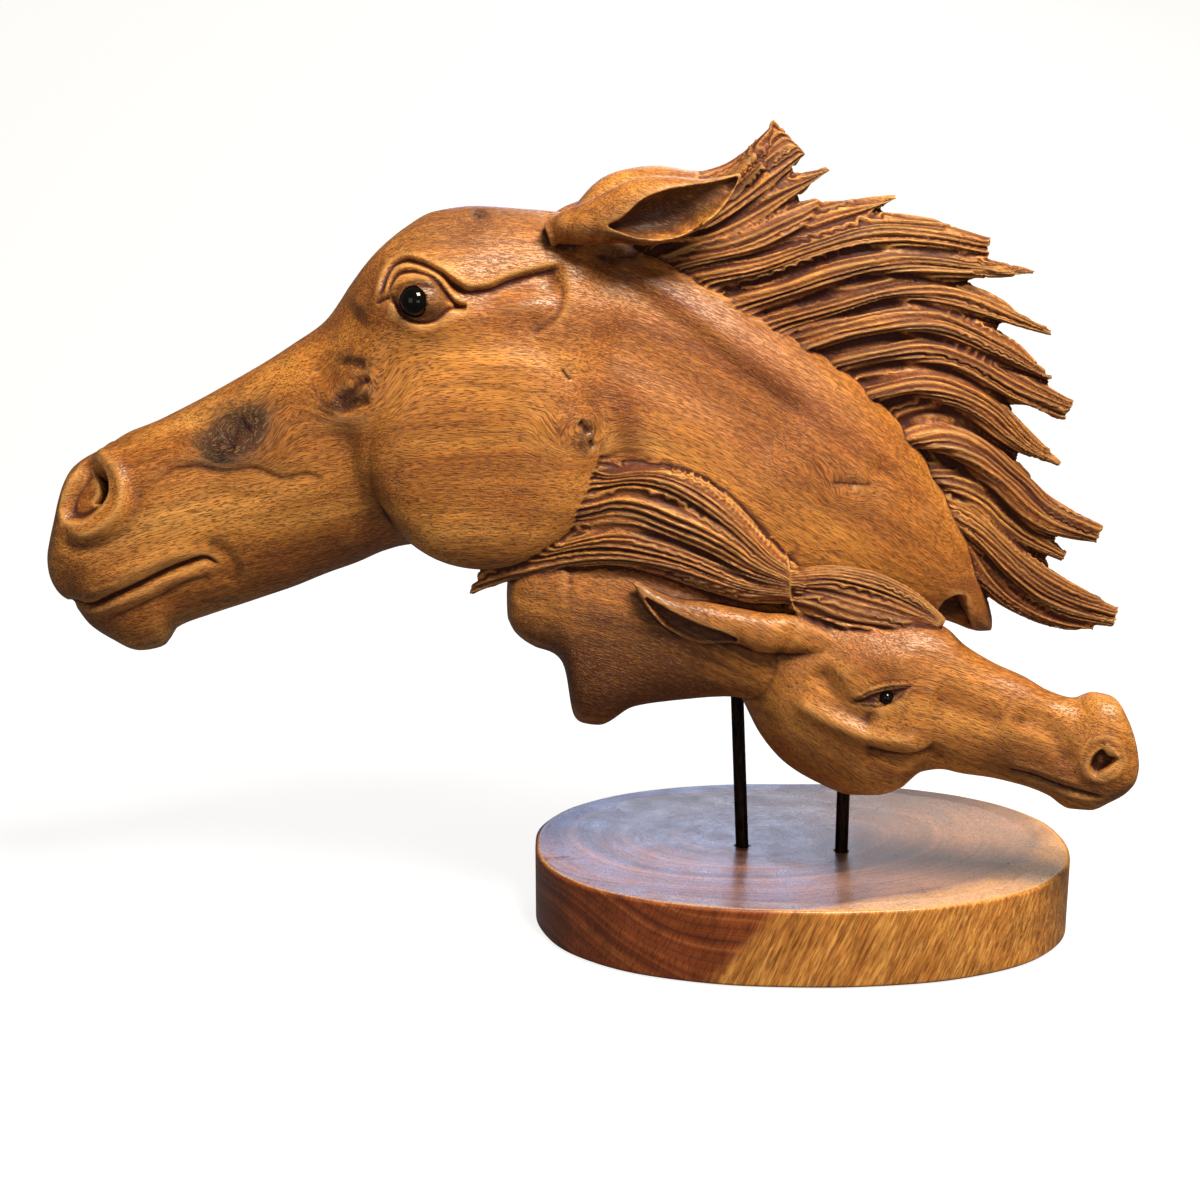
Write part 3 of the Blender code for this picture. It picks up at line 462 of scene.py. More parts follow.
# Rods: along X where they leave the base and at the top, place in depth, height of the top
RODS = {
    "rod_left": (-27.0, -32.0, 2.0, 133.0),
    "rod_right": (19.0, 19.0, -4.0, 118.0),
}
ROD_RADIUS = 3.0
# Height of the rods' feet in the base, and of the bottom of its dish, where they leave it
ROD_FOOT = 19.0
ROD_LEAVES_BASE = 33.0
# Room round a rod or a bead in its bore
GAP = 0.3

# Base: a full oval; a power of 2 would make it an ellipse
BASE_HALF_LENGTH = 125.0
BASE_HALF_DEPTH = 80.0
BASE_POWER = 2.3
BASE_HEIGHT = 36.0
BASE_EDGE_ROUND = 1.6
BASE_DISH = 3.0
BASE_RIM = 9.0

# Slope of the grain along the carving: X and rise over run
GRAIN_SLOPES = (
    (-350, 0.32), (-300, 0.3), (-200, 0.2), (-140, 0.0), (-100, -0.2), (-50, -0.5), (0, -0.6),
    (60, -0.7), (150, -0.6),
)
# Slope of the grain along the foal's face, and where it starts
FOAL_GRAIN_SLOPE = -0.35
FOAL_GRAIN_START = 20.0
# How far the foal's far side's strokes lie from the near side's
FOAL_FAR_SHIFT = (8.5, 0.5)
# Knots lie on the sides, farther than this from the middle
KNOT_DEPTH = 12.0


# Shapes

def turn_of(count):
    """A full turn in count even steps, as a row."""
    return np.linspace(0.0, 2.0 * math.pi, count, endpoint=False)[None, :]


def smooth_rows(rows, count, even=False):
    """Rows of a table at count even steps of a cubic curve through them.

    An even curve never swings past its rows: its slope is the harmonic mean of the slopes on
    both sides, and nothing where they differ in sign.
    """
    table = np.array(rows, float)
    steps = np.linalg.norm(np.diff(table[:, :2], axis=0), axis=1)
    place = np.concatenate(([0.0], np.cumsum(steps)))
    slope = np.gradient(table, place, axis=0)
    if even:
        rise = np.diff(table, axis=0) / steps[:, None]
        product = rise[:-1] * rise[1:]
        total = rise[:-1] + rise[1:]
        total[product <= 0.0] = 1.0
        slope[1:-1] = np.where(product > 0.0, 2.0 * product / total, 0.0)
    asked = np.linspace(0.0, place[-1], count)
    left = np.clip(np.searchsorted(place, asked, side="right") - 1, 0, len(place) - 2)
    span = (place[left + 1] - place[left])[:, None]
    t = (asked - place[left])[:, None] / span
    start = (1 + 2 * t) * (1 - t) ** 2 * table[left] + t * (1 - t) ** 2 * span * slope[left]
    end = t * t * (3 - 2 * t) * table[left + 1] + t * t * (t - 1) * span * slope[left + 1]
    return start + end


def rounded(part, power):
    """A sine or cosine pushed outward: its sign, times its size to the power of 2 / power."""
    return np.sign(part) * np.abs(part) ** (2.0 / power)


def ease(value, low, high):
    """0 below low, 1 above high, and the cubic 3t^2 - 2t^3 between them."""
    t = np.clip((value - low) / (high - low), 0.0, 1.0)
    return t * t * (3.0 - 2.0 * t)


def cloud(u, v, seed):
    """Smooth random field from -1 to 1: random values at whole numbers, eased between them."""
    table = np.random.default_rng(seed).uniform(-1.0, 1.0, (64, 64))
    left, low = np.floor(u).astype(int), np.floor(v).astype(int)
    s, t = u - left, v - low
    s, t = s * s * (3.0 - 2.0 * s), t * t * (3.0 - 2.0 * t)
    left, low = left % 64, low % 64
    right, high = (left + 1) % 64, (low + 1) % 64
    below = table[left, low] * (1.0 - s) + table[right, low] * s
    above = table[left, high] * (1.0 - s) + table[right, high] * s
    return below * (1.0 - t) + above * t


def skin(rings):
    """Points and faces between rings that close round, each end closed on its middle."""
    count, around, _ = rings.shape
    here = np.arange(count * around).reshape(count, around)
    beside = np.roll(here, -1, axis=1)
    quads = np.stack((here[:-1], beside[:-1], beside[1:], here[1:]), axis=-1).reshape(-1, 4)
    first = np.full(around, count * around)
    caps = np.vstack((
        np.stack((beside[0], here[0], first), axis=-1),
        np.stack((here[-1], beside[-1], first + 1), axis=-1),
    ))
    points = np.vstack((rings.reshape(-1, 3), rings[0].mean(axis=0), rings[-1].mean(axis=0)))
    return points, quads, caps


def section_body(table, grid, power):
    """Upright sections along X.

    At angle a a point lies at half width times cos(a) to the side, and at the widest height
    plus the way to the crown (or to the underside) times sin(a), both pushed outward.
    """
    rows = smooth_rows(table, grid[0], even=True)
    along, crown, under = rows[:, 0:1], rows[:, 1:2], rows[:, 2:3]
    half = np.maximum(rows[:, 3:4], 0.5)
    widest = np.clip(rows[:, 4:5], under + 1.0, crown - 1.0)
    middle = rows[:, 5:6] if rows.shape[1] > 5 else 0.0 * along
    angle = turn_of(grid[1])
    rise = rounded(np.sin(angle), power)
    height = widest + np.where(rise > 0, (crown - widest) * rise, (widest - under) * rise)
    depth = middle + half * rounded(np.cos(angle), power)
    return skin(np.stack((along + 0.0 * angle, depth, height), axis=-1))


def lock_body(table, grid, power=3.0, shingle=0.0):
    """A tapering body carried along a path.

    Across the path a point lies at c times the half width, c from -1 to 1, and in depth at
    the half thickness times (1 - |c|^power)^(1/power). Shingle thins the upper edge and
    thickens the lower one by that much, less where the body is thin.
    """
    rows = smooth_rows(table, grid[0])
    run = np.gradient(rows[:, 0])
    climb = np.gradient(rows[:, 1])
    length = np.hypot(run, climb)
    side_x = (-climb / length)[:, None]
    side_z = (run / length)[:, None]
    angle = turn_of(grid[1])
    across = rounded(np.cos(angle), power)
    slope = shingle * np.clip(rows[:, 3:4] / 14.0, 0.3, 1.0)
    thick = np.maximum(rows[:, 3:4] - slope * across, 0.4)
    x = rows[:, 0:1] + side_x * rows[:, 2:3] * across
    z = rows[:, 1:2] + side_z * rows[:, 2:3] * across
    y = rows[:, 4:5] + thick * rounded(np.sin(angle), power)
    return skin(np.stack((x, y, z), axis=-1))


def pad_body(centre, radii, power, grid=(60, 120)):
    """A cushion or bead, round in the side view.

    Its reach is cos(t)^(2/power) and its depth sin(t) pushed outward, times its radii.
    """
    angle = turn_of(grid[1])
    tilt = np.linspace(-0.5 * math.pi, 0.5 * math.pi, grid[0] + 2)[1:-1, None]
    reach = np.cos(tilt) ** (2.0 / power)
    x = centre[0] + radii[0] * reach * np.cos(angle)
    y = centre[1] + radii[1] * rounded(np.sin(tilt), power) + 0.0 * angle
    z = centre[2] + radii[2] * reach * np.sin(angle)
    return skin(np.stack((x, y, z), axis=-1))


def hair_bodies():
    """Every lock: the crest behind the ears, the mane, the foal's mane and its forelock."""
    bodies = [lock_body([(*row, CREST_DEPTH, 0.0) for row in CREST], (80, 60))]
    for index, rows in enumerate(MANE_LOCKS):
        share = np.linspace(0.0, 1.0, len(rows))
        thick = np.interp(share, *np.array(MANE_DEPTH).T)
        thick += MANE_STEPS[index % len(MANE_STEPS)] * np.sin(math.pi * share)
        table = np.column_stack((rows, thick, np.full(len(rows), MANE_MIDDLE)))
        bodies.append(lock_body(
            table, (120, 72), power=MANE_LOCK_POWER, shingle=MANE_SHINGLE))
    for table in FOAL_LOCKS + FORELOCK_LOCKS:
        bodies.append(lock_body(table, (90, 56), shingle=FOAL_SHINGLE))
    return bodies


def side_reach(places, table, power):
    """Nearest and farthest depth of a body of upright sections at places of the side view."""
    rows = smooth_rows(table, 400, even=True)
    crown, under, half, widest, *rest = (
        np.interp(places[:, 0], rows[:, 0], column) for column in rows.T[1:])
    middle = rest[0] if rest else 0.0
    above = (places[:, 1] - widest) / np.maximum(crown - widest, 1.0)
    below = (widest - places[:, 1]) / np.maximum(widest - under, 1.0)
    rise = np.maximum(above, below)
    inside = (rise < 1.0) & (places[:, 0] > rows[0, 0]) & (places[:, 0] < rows[-1, 0])
    reach = half * np.maximum(1.0 - np.maximum(rise, 0.0) ** power, 0.0) ** (1.0 / power)
    return np.where(inside, middle - reach, NOWHERE), np.where(inside, middle + reach, -NOWHERE)


def strand_field(places, lines):
    """Where places lie among the lines that strands follow.

    Between two neighbouring lines the number runs evenly from one line's index to the next,
    by the distances to both. The spacing is the sum of the two distances. One more line runs
    outside the first and one outside the last. Both are worked out on a grid and read from it
    between its points.
    """
    low = places.min(axis=0) - LINE_STEP
    count = np.ceil((places.max(axis=0) + 2 * LINE_STEP - low) / LINE_STEP).astype(int) + 1
    axes = [low[i] + LINE_STEP * np.arange(count[i]) for i in (0, 1)]
    grid = np.stack(np.meshgrid(*axes, indexing="ij"), axis=-1).reshape(-1, 2)
    paths = [smooth_rows(rows, 36) for rows in lines]
    outside = []
    for path, beside in ((paths[0], paths[1]), (paths[-1], paths[-2])):
        run = np.gradient(path, axis=0)
        left = np.stack((-run[:, 1], run[:, 0]), axis=-1) / np.linalg.norm(run, axis=1)[:, None]
        side = np.sign(((beside - path) * left).sum())
        outside.append(path - LINE_BESIDE * side * left)
    paths = [outside[0], *paths, outside[1]]
    gaps = np.empty((len(paths), len(grid)))
    for index, path in enumerate(paths):
        ahead, behind = path[1] - path[0], path[-1] - path[-2]
        start = path[0] - LINE_RUN_ON * ahead / np.linalg.norm(ahead)
        end = path[-1] + LINE_RUN_ON * behind / np.linalg.norm(behind)
        gaps[index] = nearest_on_path(grid, np.vstack((start, path, end)))[0]
    own = gaps.argmin(axis=0)
    column = np.arange(len(grid))
    last = len(paths) - 1
    before = np.where(own > 0, gaps[np.maximum(own - 1, 0), column], NOWHERE)
    after = np.where(own < last, gaps[np.minimum(own + 1, last), column], NOWHERE)
    nearest = gaps[own, column]
    other = np.minimum(before, after)
    share = nearest / np.maximum(nearest + other, 1e-6)
    number = own - 1 + np.where(after < before, share, -share)
    spacing = np.minimum(nearest + other, LINE_WIDEST)
    spot = (places - low) / LINE_STEP
    corner = np.floor(spot).astype(int)
    i, j = corner.T
    s, t = (spot - corner).T
    found = []
    for values in (number.reshape(count), spacing.reshape(count)):
        lower = values[i, j] * (1 - s) + values[i + 1, j] * s
        upper = values[i, j + 1] * (1 - s) + values[i + 1, j + 1] * s
        found.append(lower * (1 - t) + upper * t)
    return found


def hair(points, outward):
    """Which points are hair, the number of the strand that they lie on, and its width.

    A point is hair where it lies in a hair area and stands out from the bodies behind it. The
    strand number is the place among the lines times the strands between two lines. Over the
    edges of a lock it runs on by the depth below the lock's face, down where the surface looks
    up and up where it looks down. It wanders by up to half a strand.
    """
    places = points[:, [0, 2]]
    depth = points[:, 1]
    horse_near, horse_far = side_reach(places, HORSE, HORSE_POWER)
    foal_near, _ = side_reach(places, FOAL, FOAL_POWER)
    neck_near, _ = side_reach(places, FOAL_NECK, FOAL_NECK_POWER)
    (cx, cy, cz), (rx, ry, rz), power = PADS[0]
    far = np.hypot((places[:, 0] - cx) / rx, (places[:, 1] - cz) / rz)
    bulge = np.maximum(1.0 - far ** power, 0.0)
    cheek_near = np.where(bulge > 0.0, cy - ry * bulge ** (1.0 / power), NOWHERE)
    behind = np.minimum(np.minimum(horse_near, foal_near), np.minimum(neck_near, cheek_near))
    weight, number, width = (np.zeros(len(points)) for _ in range(3))
    wander = 0.5 * cloud(places[:, 0] / 30.0, places[:, 1] / 22.0, 3) + 0.1 * cloud(
        places[:, 0] / 13.0, places[:, 1] / 8.0, 4)
    mane_proud = np.where(depth < 0.0, horse_near - depth, depth - horse_far)
    limit = MANE_HALF_LEFT + (MANE_HALF_RIGHT - MANE_HALF_LEFT) * ease(
        places[:, 0], -50.0, -40.0)
    in_mane = ease(mane_proud, 0.1, 1.0) * ease(limit - np.abs(depth), 0.0, 1.5)
    in_front = ease(behind - depth, -0.2, 0.6)
    for (area, lines, strands, middle, face), proud in zip(
            HAIR_PARTS, (in_mane, in_front, in_front)):
        out = np.flatnonzero(proud > 0.0)
        inside = np.zeros(len(points))
        inside[out] = scoop_sink(places[out], (1.0, 1.5, area)) * proud[out]
        here = np.flatnonzero(inside > 0.0)
        if len(here) == 0:
            continue
        place, spacing = strand_field(places[here], lines)
        below = np.maximum(face - np.abs(depth[here] - middle), 0.0)
        weight[here] = inside[here]
        over = np.clip(1.4 * outward[here, 2], -1.0, 1.0) * below
        even = place * strands - STRAND_DRIFT * over + wander[here]
        along = places[here, 0] - 0.4 * places[here, 1]
        number[here] = even + 0.3 * cloud(even / 1.3, along / 40.0, 9)
        width[here] = spacing / strands
    return weight, number, width


def strand_sink(points, weight, number, width):
    """Depth of the grooves between strands, in millimetres.

    Each groove is |sin(pi * number)| deep, as a round gouge leaves it, with a thin ridge where
    two grooves meet, times a random share that changes from strand to strand and along them.
    Clumps of 2.7 strands are parted by narrow deep grooves, 1 - |cos(pi * clump)|^0.45. On the
    far side all are shallower, and strands narrower than the mesh can hold fade out.
    """
    along = points[:, 0] - 0.4 * points[:, 2]
    fine = np.abs(np.sin(math.pi * number))
    fine *= 0.75 + 0.55 * cloud(number, along / 24.0, 5)
    clump = number / 2.7 + 0.3 * cloud(number / 4.0, along / 45.0, 6)
    deep = 1.0 - np.abs(np.cos(math.pi * clump)) ** 0.45
    deep *= 0.8 + 0.5 * cloud(clump, along / 60.0, 7)
    outer = 1.0 - 0.45 * (points[:, 1] > 4.0)
    return weight * outer * ease(width, 0.5, 2.2) * (FINE_GROOVE * fine + DEEP_GROOVE * deep)


def wood_mesh(name, bodies):
    """One mesh that holds several closed bodies, in metres, with their faces outwards.

    Six times a body's volume is the sum over its triangles of a . (b x c); where that is below
    nothing, the body is inside out and its faces are turned round.
    """
    points, quads, caps = [], [], []
    offset = 0
    for body_points, body_quads, body_caps in bodies:
        corners = np.vstack((body_caps, body_quads[:, :3], body_quads[:, [0, 2, 3]]))
        a, b, c = (body_points[corners[:, i]] - body_points[0] for i in range(3))
        way = 1 if (a * np.cross(b, c)).sum() > 0.0 else -1
        points.append(body_points)
        quads.append(body_quads[:, ::way] + offset)
        caps.append(body_caps[:, ::way] + offset)
        offset += len(body_points)
    points, quads, caps = np.vstack(points), np.vstack(quads), np.vstack(caps)
    mesh = bpy.data.meshes.new(name)
    mesh.vertices.add(len(points))
    mesh.vertices.foreach_set("co", (points * MM).ravel())
    mesh.loops.add(quads.size + caps.size)
    mesh.loops.foreach_set("vertex_index", np.concatenate((quads.ravel(), caps.ravel())))
    mesh.polygons.add(len(quads) + len(caps))
    starts = np.concatenate((np.arange(len(quads)) * 4, quads.size + np.arange(len(caps)) * 3))
    mesh.polygons.foreach_set("loop_start", starts)
    mesh.update(calc_edges=True)
    mesh.validate()
    return mesh


def with_modifier(mesh, kind, **settings):
    """The mesh after one modifier."""
    holder = bpy.data.objects.new("work", mesh)
    bpy.context.scene.collection.objects.link(holder)
    modifier = holder.modifiers.new(kind.title(), kind)
    for key, value in settings.items():
        setattr(modifier, key, value)
    graph = bpy.context.evaluated_depsgraph_get()
    done = bpy.data.meshes.new_from_object(holder.evaluated_get(graph))
    bpy.data.objects.remove(holder)
    return done


def read(collection, name, width, kind=float):
    """A property of all items of a mesh as an array with width columns."""
    flat = np.empty(len(collection) * width, kind)
    collection.foreach_get(name, flat)
    return flat.reshape(-1, width)


def store(mesh, name, values):
    """Keeps a number, or three, for each vertex under a name."""
    kind, key = ("FLOAT", "value") if values.ndim == 1 else ("FLOAT_VECTOR", "vector")
    mesh.attributes.new(name, kind, "POINT").data.foreach_set(key, values.ravel())


def relaxed(values, ends, rounds, amount):
    """Values at the vertices, each moved towards the mean of its neighbours' values."""
    total = len(values)
    degree = np.maximum(np.bincount(ends.ravel(), minlength=total), 1)[:, None]
    values = values.copy()
    for _ in range(rounds):
        mean = np.empty_like(values)
        for axis in range(values.shape[1]):
            column = values[:, axis]
            mean[:, axis] = np.bincount(ends[:, 0], column[ends[:, 1]], total)
            mean[:, axis] += np.bincount(ends[:, 1], column[ends[:, 0]], total)
        values += amount * (mean / degree - values)
    return values


def nearest_on_path(places, path):
    """Distance from a path to each place, the side it lies on (1 is left) and the share along."""
    start, run = path[:-1], np.diff(path, axis=0)
    square = np.maximum((run ** 2).sum(axis=1), 1e-9)
    offset = places[:, None, :] - start[None, :, :]
    share = np.clip((offset * run).sum(axis=-1) / square, 0.0, 1.0)
    away = offset - share[..., None] * run
    distance = np.hypot(away[..., 0], away[..., 1])
    best = distance.argmin(axis=1)
    row = np.arange(len(places))
    cross = run[best, 0] * offset[row, best, 1] - run[best, 1] * offset[row, best, 0]
    side = np.where(cross > 0.0, 1.0, -1.0)
    return distance[row, best], side, (best + share[row, best]) / len(run)


def stroke_sink(places, stroke):
    """How deep a stroke cuts at each place: depth * exp(-(distance / half width)^2).

    The half width differs between the two sides of the path, and the depth eases to nothing
    over the ends of a path that isn't closed.
    """
    depth, left, right, rows = stroke
    path = smooth_rows(rows, 7 * len(rows))
    reach = 2.6 * max(left, right)
    low, high = path.min(axis=0) - reach, path.max(axis=0) + reach
    near = np.flatnonzero(((places > low) & (places < high)).all(axis=1))
    sink = np.zeros(len(places))
    if len(near) == 0:
        return sink
    distance, side, share = nearest_on_path(places[near], path)
    half = np.where(side > 0.0, left, right)
    fade = 1.0
    if rows[0] != rows[-1]:
        fade = ease(share, -0.01, 0.16) * ease(1.0 - share, -0.01, 0.16)
    sink[near] = depth * fade * np.exp(-((distance / half) ** 2))
    return sink


def scoop_sink(places, scoop):
    """How deep a scoop cuts: its depth inside the outline, easing to nothing over its edge."""
    depth, edge, rows = scoop
    path = smooth_rows((*rows, rows[0]), 6 * len(rows))
    low, high = path.min(axis=0), path.max(axis=0)
    near = np.flatnonzero(((places > low) & (places < high)).all(axis=1))
    sink = np.zeros(len(places))
    if len(near) == 0:
        return sink
    distance, _, _ = nearest_on_path(places[near], path)
    here = places[near]
    x0, z0, x1, z1 = path[:-1, 0], path[:-1, 1], path[1:, 0], path[1:, 1]
    spans = (z0 > here[:, 1:2]) != (z1 > here[:, 1:2])
    meet = (x1 - x0) * (here[:, 1:2] - z0) / np.where(z1 == z0, 1e-9, z1 - z0) + x0
    inside = (spans & (here[:, 0:1] < meet)).sum(axis=1) % 2 == 1
    sink[near] = np.where(inside, depth * ease(distance, 0.0, edge), 0.0)
    return sink


def hand_marks(points):
    """Unevenness of hand carving: slow sines of 0.1 mm in slanting directions, and rough knots."""
    x, y, z = points[:, 0], points[:, 1], points[:, 2]
    marks = 0.1 * (
        np.sin(x / 5.3 + 1.3 * np.sin(z / 9.1)) * np.sin(z / 6.1 + 0.8 * np.sin(y / 7.7))
        + 1.2 * np.sin((x + z) / 11.0 + 1.1 * np.sin(y / 13.0)) * np.cos((z - 0.6 * x) / 8.3)
    )
    for (kx, kz), _, radius in KNOTS:
        rough = np.exp(-(((x - kx) / radius) ** 2) - ((z - kz) / radius) ** 2)
        rough *= np.abs(y) > KNOT_DEPTH
        marks += rough * (0.35 * cloud(x / 1.9, z / 1.9, 11) + 0.4 * cloud(x / 4.3, z / 3.1, 12))
    return marks


def eyeball(points, side):
    """Pulls the surface on one side to the oval eyeball.

    It is a low dome round the bead: its top less the fall times the squared way to the rim.
    """
    (cx, cz), long, high, tilt = EYEBALL
    dx, dz = points[:, 0] - cx, points[:, 2] - cz
    turned_x = (dx * math.cos(tilt) + dz * math.sin(tilt)) / long
    turned_z = (-dx * math.sin(tilt) + dz * math.cos(tilt)) / high
    far = turned_x ** 2 + turned_z ** 2
    weight = (1.0 - ease(np.sqrt(far), 0.86, 1.04)) * (side * points[:, 1] > 20.0)
    target = side * (EYEBALL_TOP - EYEBALL_FALL * far)
    points[:, 1] += weight * (target - points[:, 1])


def sanded(points, ends):
    """Points near the sanded seams, drawn many times towards the mean of their neighbours."""
    weight = np.zeros(len(points))
    for (cx, cz), (long, high) in SANDED:
        far = np.hypot((points[:, 0] - cx) / long, (points[:, 2] - cz) / high)
        weight = np.maximum(weight, 1.0 - ease(far, 0.6, 1.0))
    weight *= np.abs(points[:, 1]) > 14.0
    chosen = np.flatnonzero(weight > 0.0)
    order = np.full(len(points), -1)
    order[chosen] = np.arange(len(chosen))
    inner = order[ends[(weight[ends] > 0.0).all(axis=1)]]
    smooth = relaxed(points[chosen], inner, SANDINGS, 0.6)
    points[chosen] += weight[chosen, None] * (smooth - points[chosen])
    return points


def mounds(places):
    """Rise of the surface at each place: the sum of height * exp(-(distance / half size)^2)."""
    rise = np.zeros(len(places))
    for centre, size, height in MOUNDS:
        across, up = (((places - centre) / size) ** 2).T
        rise += height * np.exp(-across - up)
    return rise


def hollowed(body, cutter):
    """A closed body with another one taken out of it, as points and triangles."""
    mesh = bored(wood_mesh("whole", [body]), [cutter])
    mesh.calc_loop_triangles()
    points = read(mesh.vertices, "co", 3) / MM
    return points, np.empty((0, 4), int), read(mesh.loop_triangles, "vertices", 3, int)


def carving_mesh():
    """The two horses: bodies fused, sanded, carved with strokes and hair, and lightened."""
    bodies = [
        section_body(HORSE, (300, 140), HORSE_POWER),
        section_body(FOAL, (140, 100), FOAL_POWER),
        section_body(FOAL_NECK, (120, 100), FOAL_NECK_POWER),
        section_body(MANE_WEB, (140, 70), MANE_WEB_POWER),
        hollowed(
            lock_body(FOAL_EAR, (80, 60), power=EAR_POWER),
            lock_body(FOAL_EAR_HOLLOW, (60, 48), power=EAR_POWER)),
    ]
    for side in (1.0, -1.0):
        ear, hollow = ([(*row[:4], side * row[4]) for row in rows] for rows in (EAR, EAR_HOLLOW))
        bodies.append(hollowed(
            lock_body(ear, (100, 70), power=EAR_POWER),
            lock_body(hollow, (80, 60), power=EAR_POWER)))
    bodies += [pad_body(*pad) for pad in PADS]
    bodies += hair_bodies()
    mesh = wood_mesh("fused", bodies)
    mesh = with_modifier(mesh, "REMESH", mode="VOXEL", voxel_size=CELL * MM)
    ends = read(mesh.edges, "vertices", 2, int)
    points = read(mesh.vertices, "co", 3) / MM
    points = sanded(relaxed(points, ends, 2, 0.5), ends)
    mesh.vertices.foreach_set("co", (points * MM).ravel())
    mesh.update()
    outward = relaxed(read(mesh.vertices, "normal", 3), ends, 12, 0.6)
    outward /= np.maximum(np.linalg.norm(outward, axis=1), 1e-6)[:, None]

    places = points[:, [0, 2]]
    sink = hand_marks(points)
    strokes = HORSE_STROKES + LID_STROKES + KNOT_STROKES
    horse_cuts = sum(stroke_sink(places, row) for row in strokes)
    horse_cuts = horse_cuts + sum(scoop_sink(places, row) for row in HORSE_SCOOPS)
    horse_cuts = horse_cuts - mounds(places)
    foal_cuts = sum(stroke_sink(places, row) for row in FOAL_STROKES)
    foal_cuts = foal_cuts + sum(scoop_sink(places, row) for row in FOAL_SCOOPS)
    far_cuts = sum(stroke_sink(places - FOAL_FAR_SHIFT, row) for row in FOAL_STROKES)

    # the foal's part of the near side stands out, right of its neck and below its mane
    x, depth, z = points.T
    near_face = ease(-outward[:, 1], -0.05, 0.45)
    far_face = ease(outward[:, 1], -0.05, 0.45)
    in_foal = ease(-depth, 31.0, 36.0) * ease(x, -82.0, -74.0) * ease(-z, -182.0, -174.0)
    sink += horse_cuts * near_face * (depth < 0.0) * (1.0 - in_foal)
    sink += horse_cuts * far_face * (depth > 0.0)
    sink += foal_cuts * near_face * in_foal
    sink += far_cuts * far_face * (depth < 6.0) * (x > 0.0) * (depth > -60.0)
    weight, number, width = hair(points, outward)
    sink += strand_sink(points, weight, number, width)
    points = points - outward * sink[:, None]
    eyeball(points, -1.0)
    eyeball(points, 1.0)
    points = relaxed(points, ends, 1, 0.15)
    mesh.vertices.foreach_set("co", (points * MM).ravel())
    mesh.update()
    normals = read(mesh.vertices, "normal", 3)
    fine = ((relaxed(points, ends, 9, 0.7) - points) * normals).sum(axis=1)
    for name, values in (("fine", fine), ("hair", weight), ("strand", number)):
        store(mesh, name, values)

    mesh = with_modifier(mesh, "TRIANGULATE")
    mesh = with_modifier(mesh, "DECIMATE", ratio=CARVING_TRIANGLES / len(mesh.polygons))
    return mesh


def add_carving_attributes(mesh):
    """Stores what the wood's material reads, beside hair and strand.

    grain is (along, depth, height less the rise of the grain), and near a knot the height
    turns into the distance from it, so that the lines run round. hollow is how far a point
    lies under its surroundings: 1 for 0.3 mm in fine grooves, or 1.8 mm in broad hollows, of
    which a part is mixed in where there is hair.
    """
    points = read(mesh.vertices, "co", 3) / MM
    ends = read(mesh.edges, "vertices", 2, int)
    normals = read(mesh.vertices, "normal", 3)
    x, y, z = points.T

    steps = np.linspace(-360.0, 160.0, 521)
    slopes = np.interp(steps, *np.array(GRAIN_SLOPES, float).T)
    rise = np.concatenate(([0.0], np.cumsum(0.5 * (slopes[1:] + slopes[:-1]))))
    lift = np.interp(x, steps, rise)
    foal_lift = np.interp(FOAL_GRAIN_START, steps, rise)
    foal_lift = foal_lift + FOAL_GRAIN_SLOPE * (x - FOAL_GRAIN_START)
    foal = ease(x, 10.0, 50.0) * ease(-z, -178.0, -150.0)
    height = z - lift * (1.0 - foal) - foal_lift * foal
    for (kx, kz), radius, _ in KNOTS:
        distance = np.hypot(x - kx, 1.25 * (z - kz))
        centre = kz - np.interp(kx, steps, rise)
        weight = np.exp(-((distance / radius) ** 3.0)) * (np.abs(y) > KNOT_DEPTH)
        height = height + weight * (centre + distance - height)
    grain = np.stack((x, y, height), axis=-1) * MM

    fine, weight = (
        read(mesh.attributes[name].data, "value", 1).ravel() for name in ("fine", "hair"))
    broad = ((relaxed(points, ends, 26, 0.8) - points) * normals).sum(axis=1)
    share = 0.4 * weight
    hollow = np.clip(fine / 0.3, -1.0, 1.0) * (1.0 - share)
    hollow = hollow + np.clip(broad / 1.8, -1.0, 1.0) * share
    store(mesh, "grain", grain)
    store(mesh, "hollow", hollow)


def add_base_attribute(mesh):
    """Stores where the base's wall is: 1 on the wall, 0 on the top, from the reach of its oval."""
    x, y, _ = read(mesh.vertices, "co", 3).T / MM
    reach = np.abs(x / BASE_HALF_LENGTH) ** BASE_POWER + np.abs(y / BASE_HALF_DEPTH) ** BASE_POWER
    store(mesh, "wall", ease(reach ** (1.0 / BASE_POWER), 0.968, 0.992))


def rod_body(rule, radius, low, high, grid=(90, 48)):
    """A leaning rod: circles along its line, drawn in by a small chamfer at both ends."""
    foot_x, top_x, depth, top_z = rule
    height = np.linspace(low, high, grid[0])
    edge = np.minimum(height - low, high - height)
    reach = radius - 0.5 * (1.0 - ease(edge, 0.0, 1.2))
    share = (height - ROD_LEAVES_BASE) / (top_z - ROD_LEAVES_BASE)
    middle = foot_x + (top_x - foot_x) * share
    angle = turn_of(grid[1])
    x = middle[:, None] + reach[:, None] * np.cos(angle)
    y = depth + reach[:, None] * np.sin(angle)
    z = height[:, None] + 0.0 * angle
    return skin(np.stack((x, y, z), axis=-1))


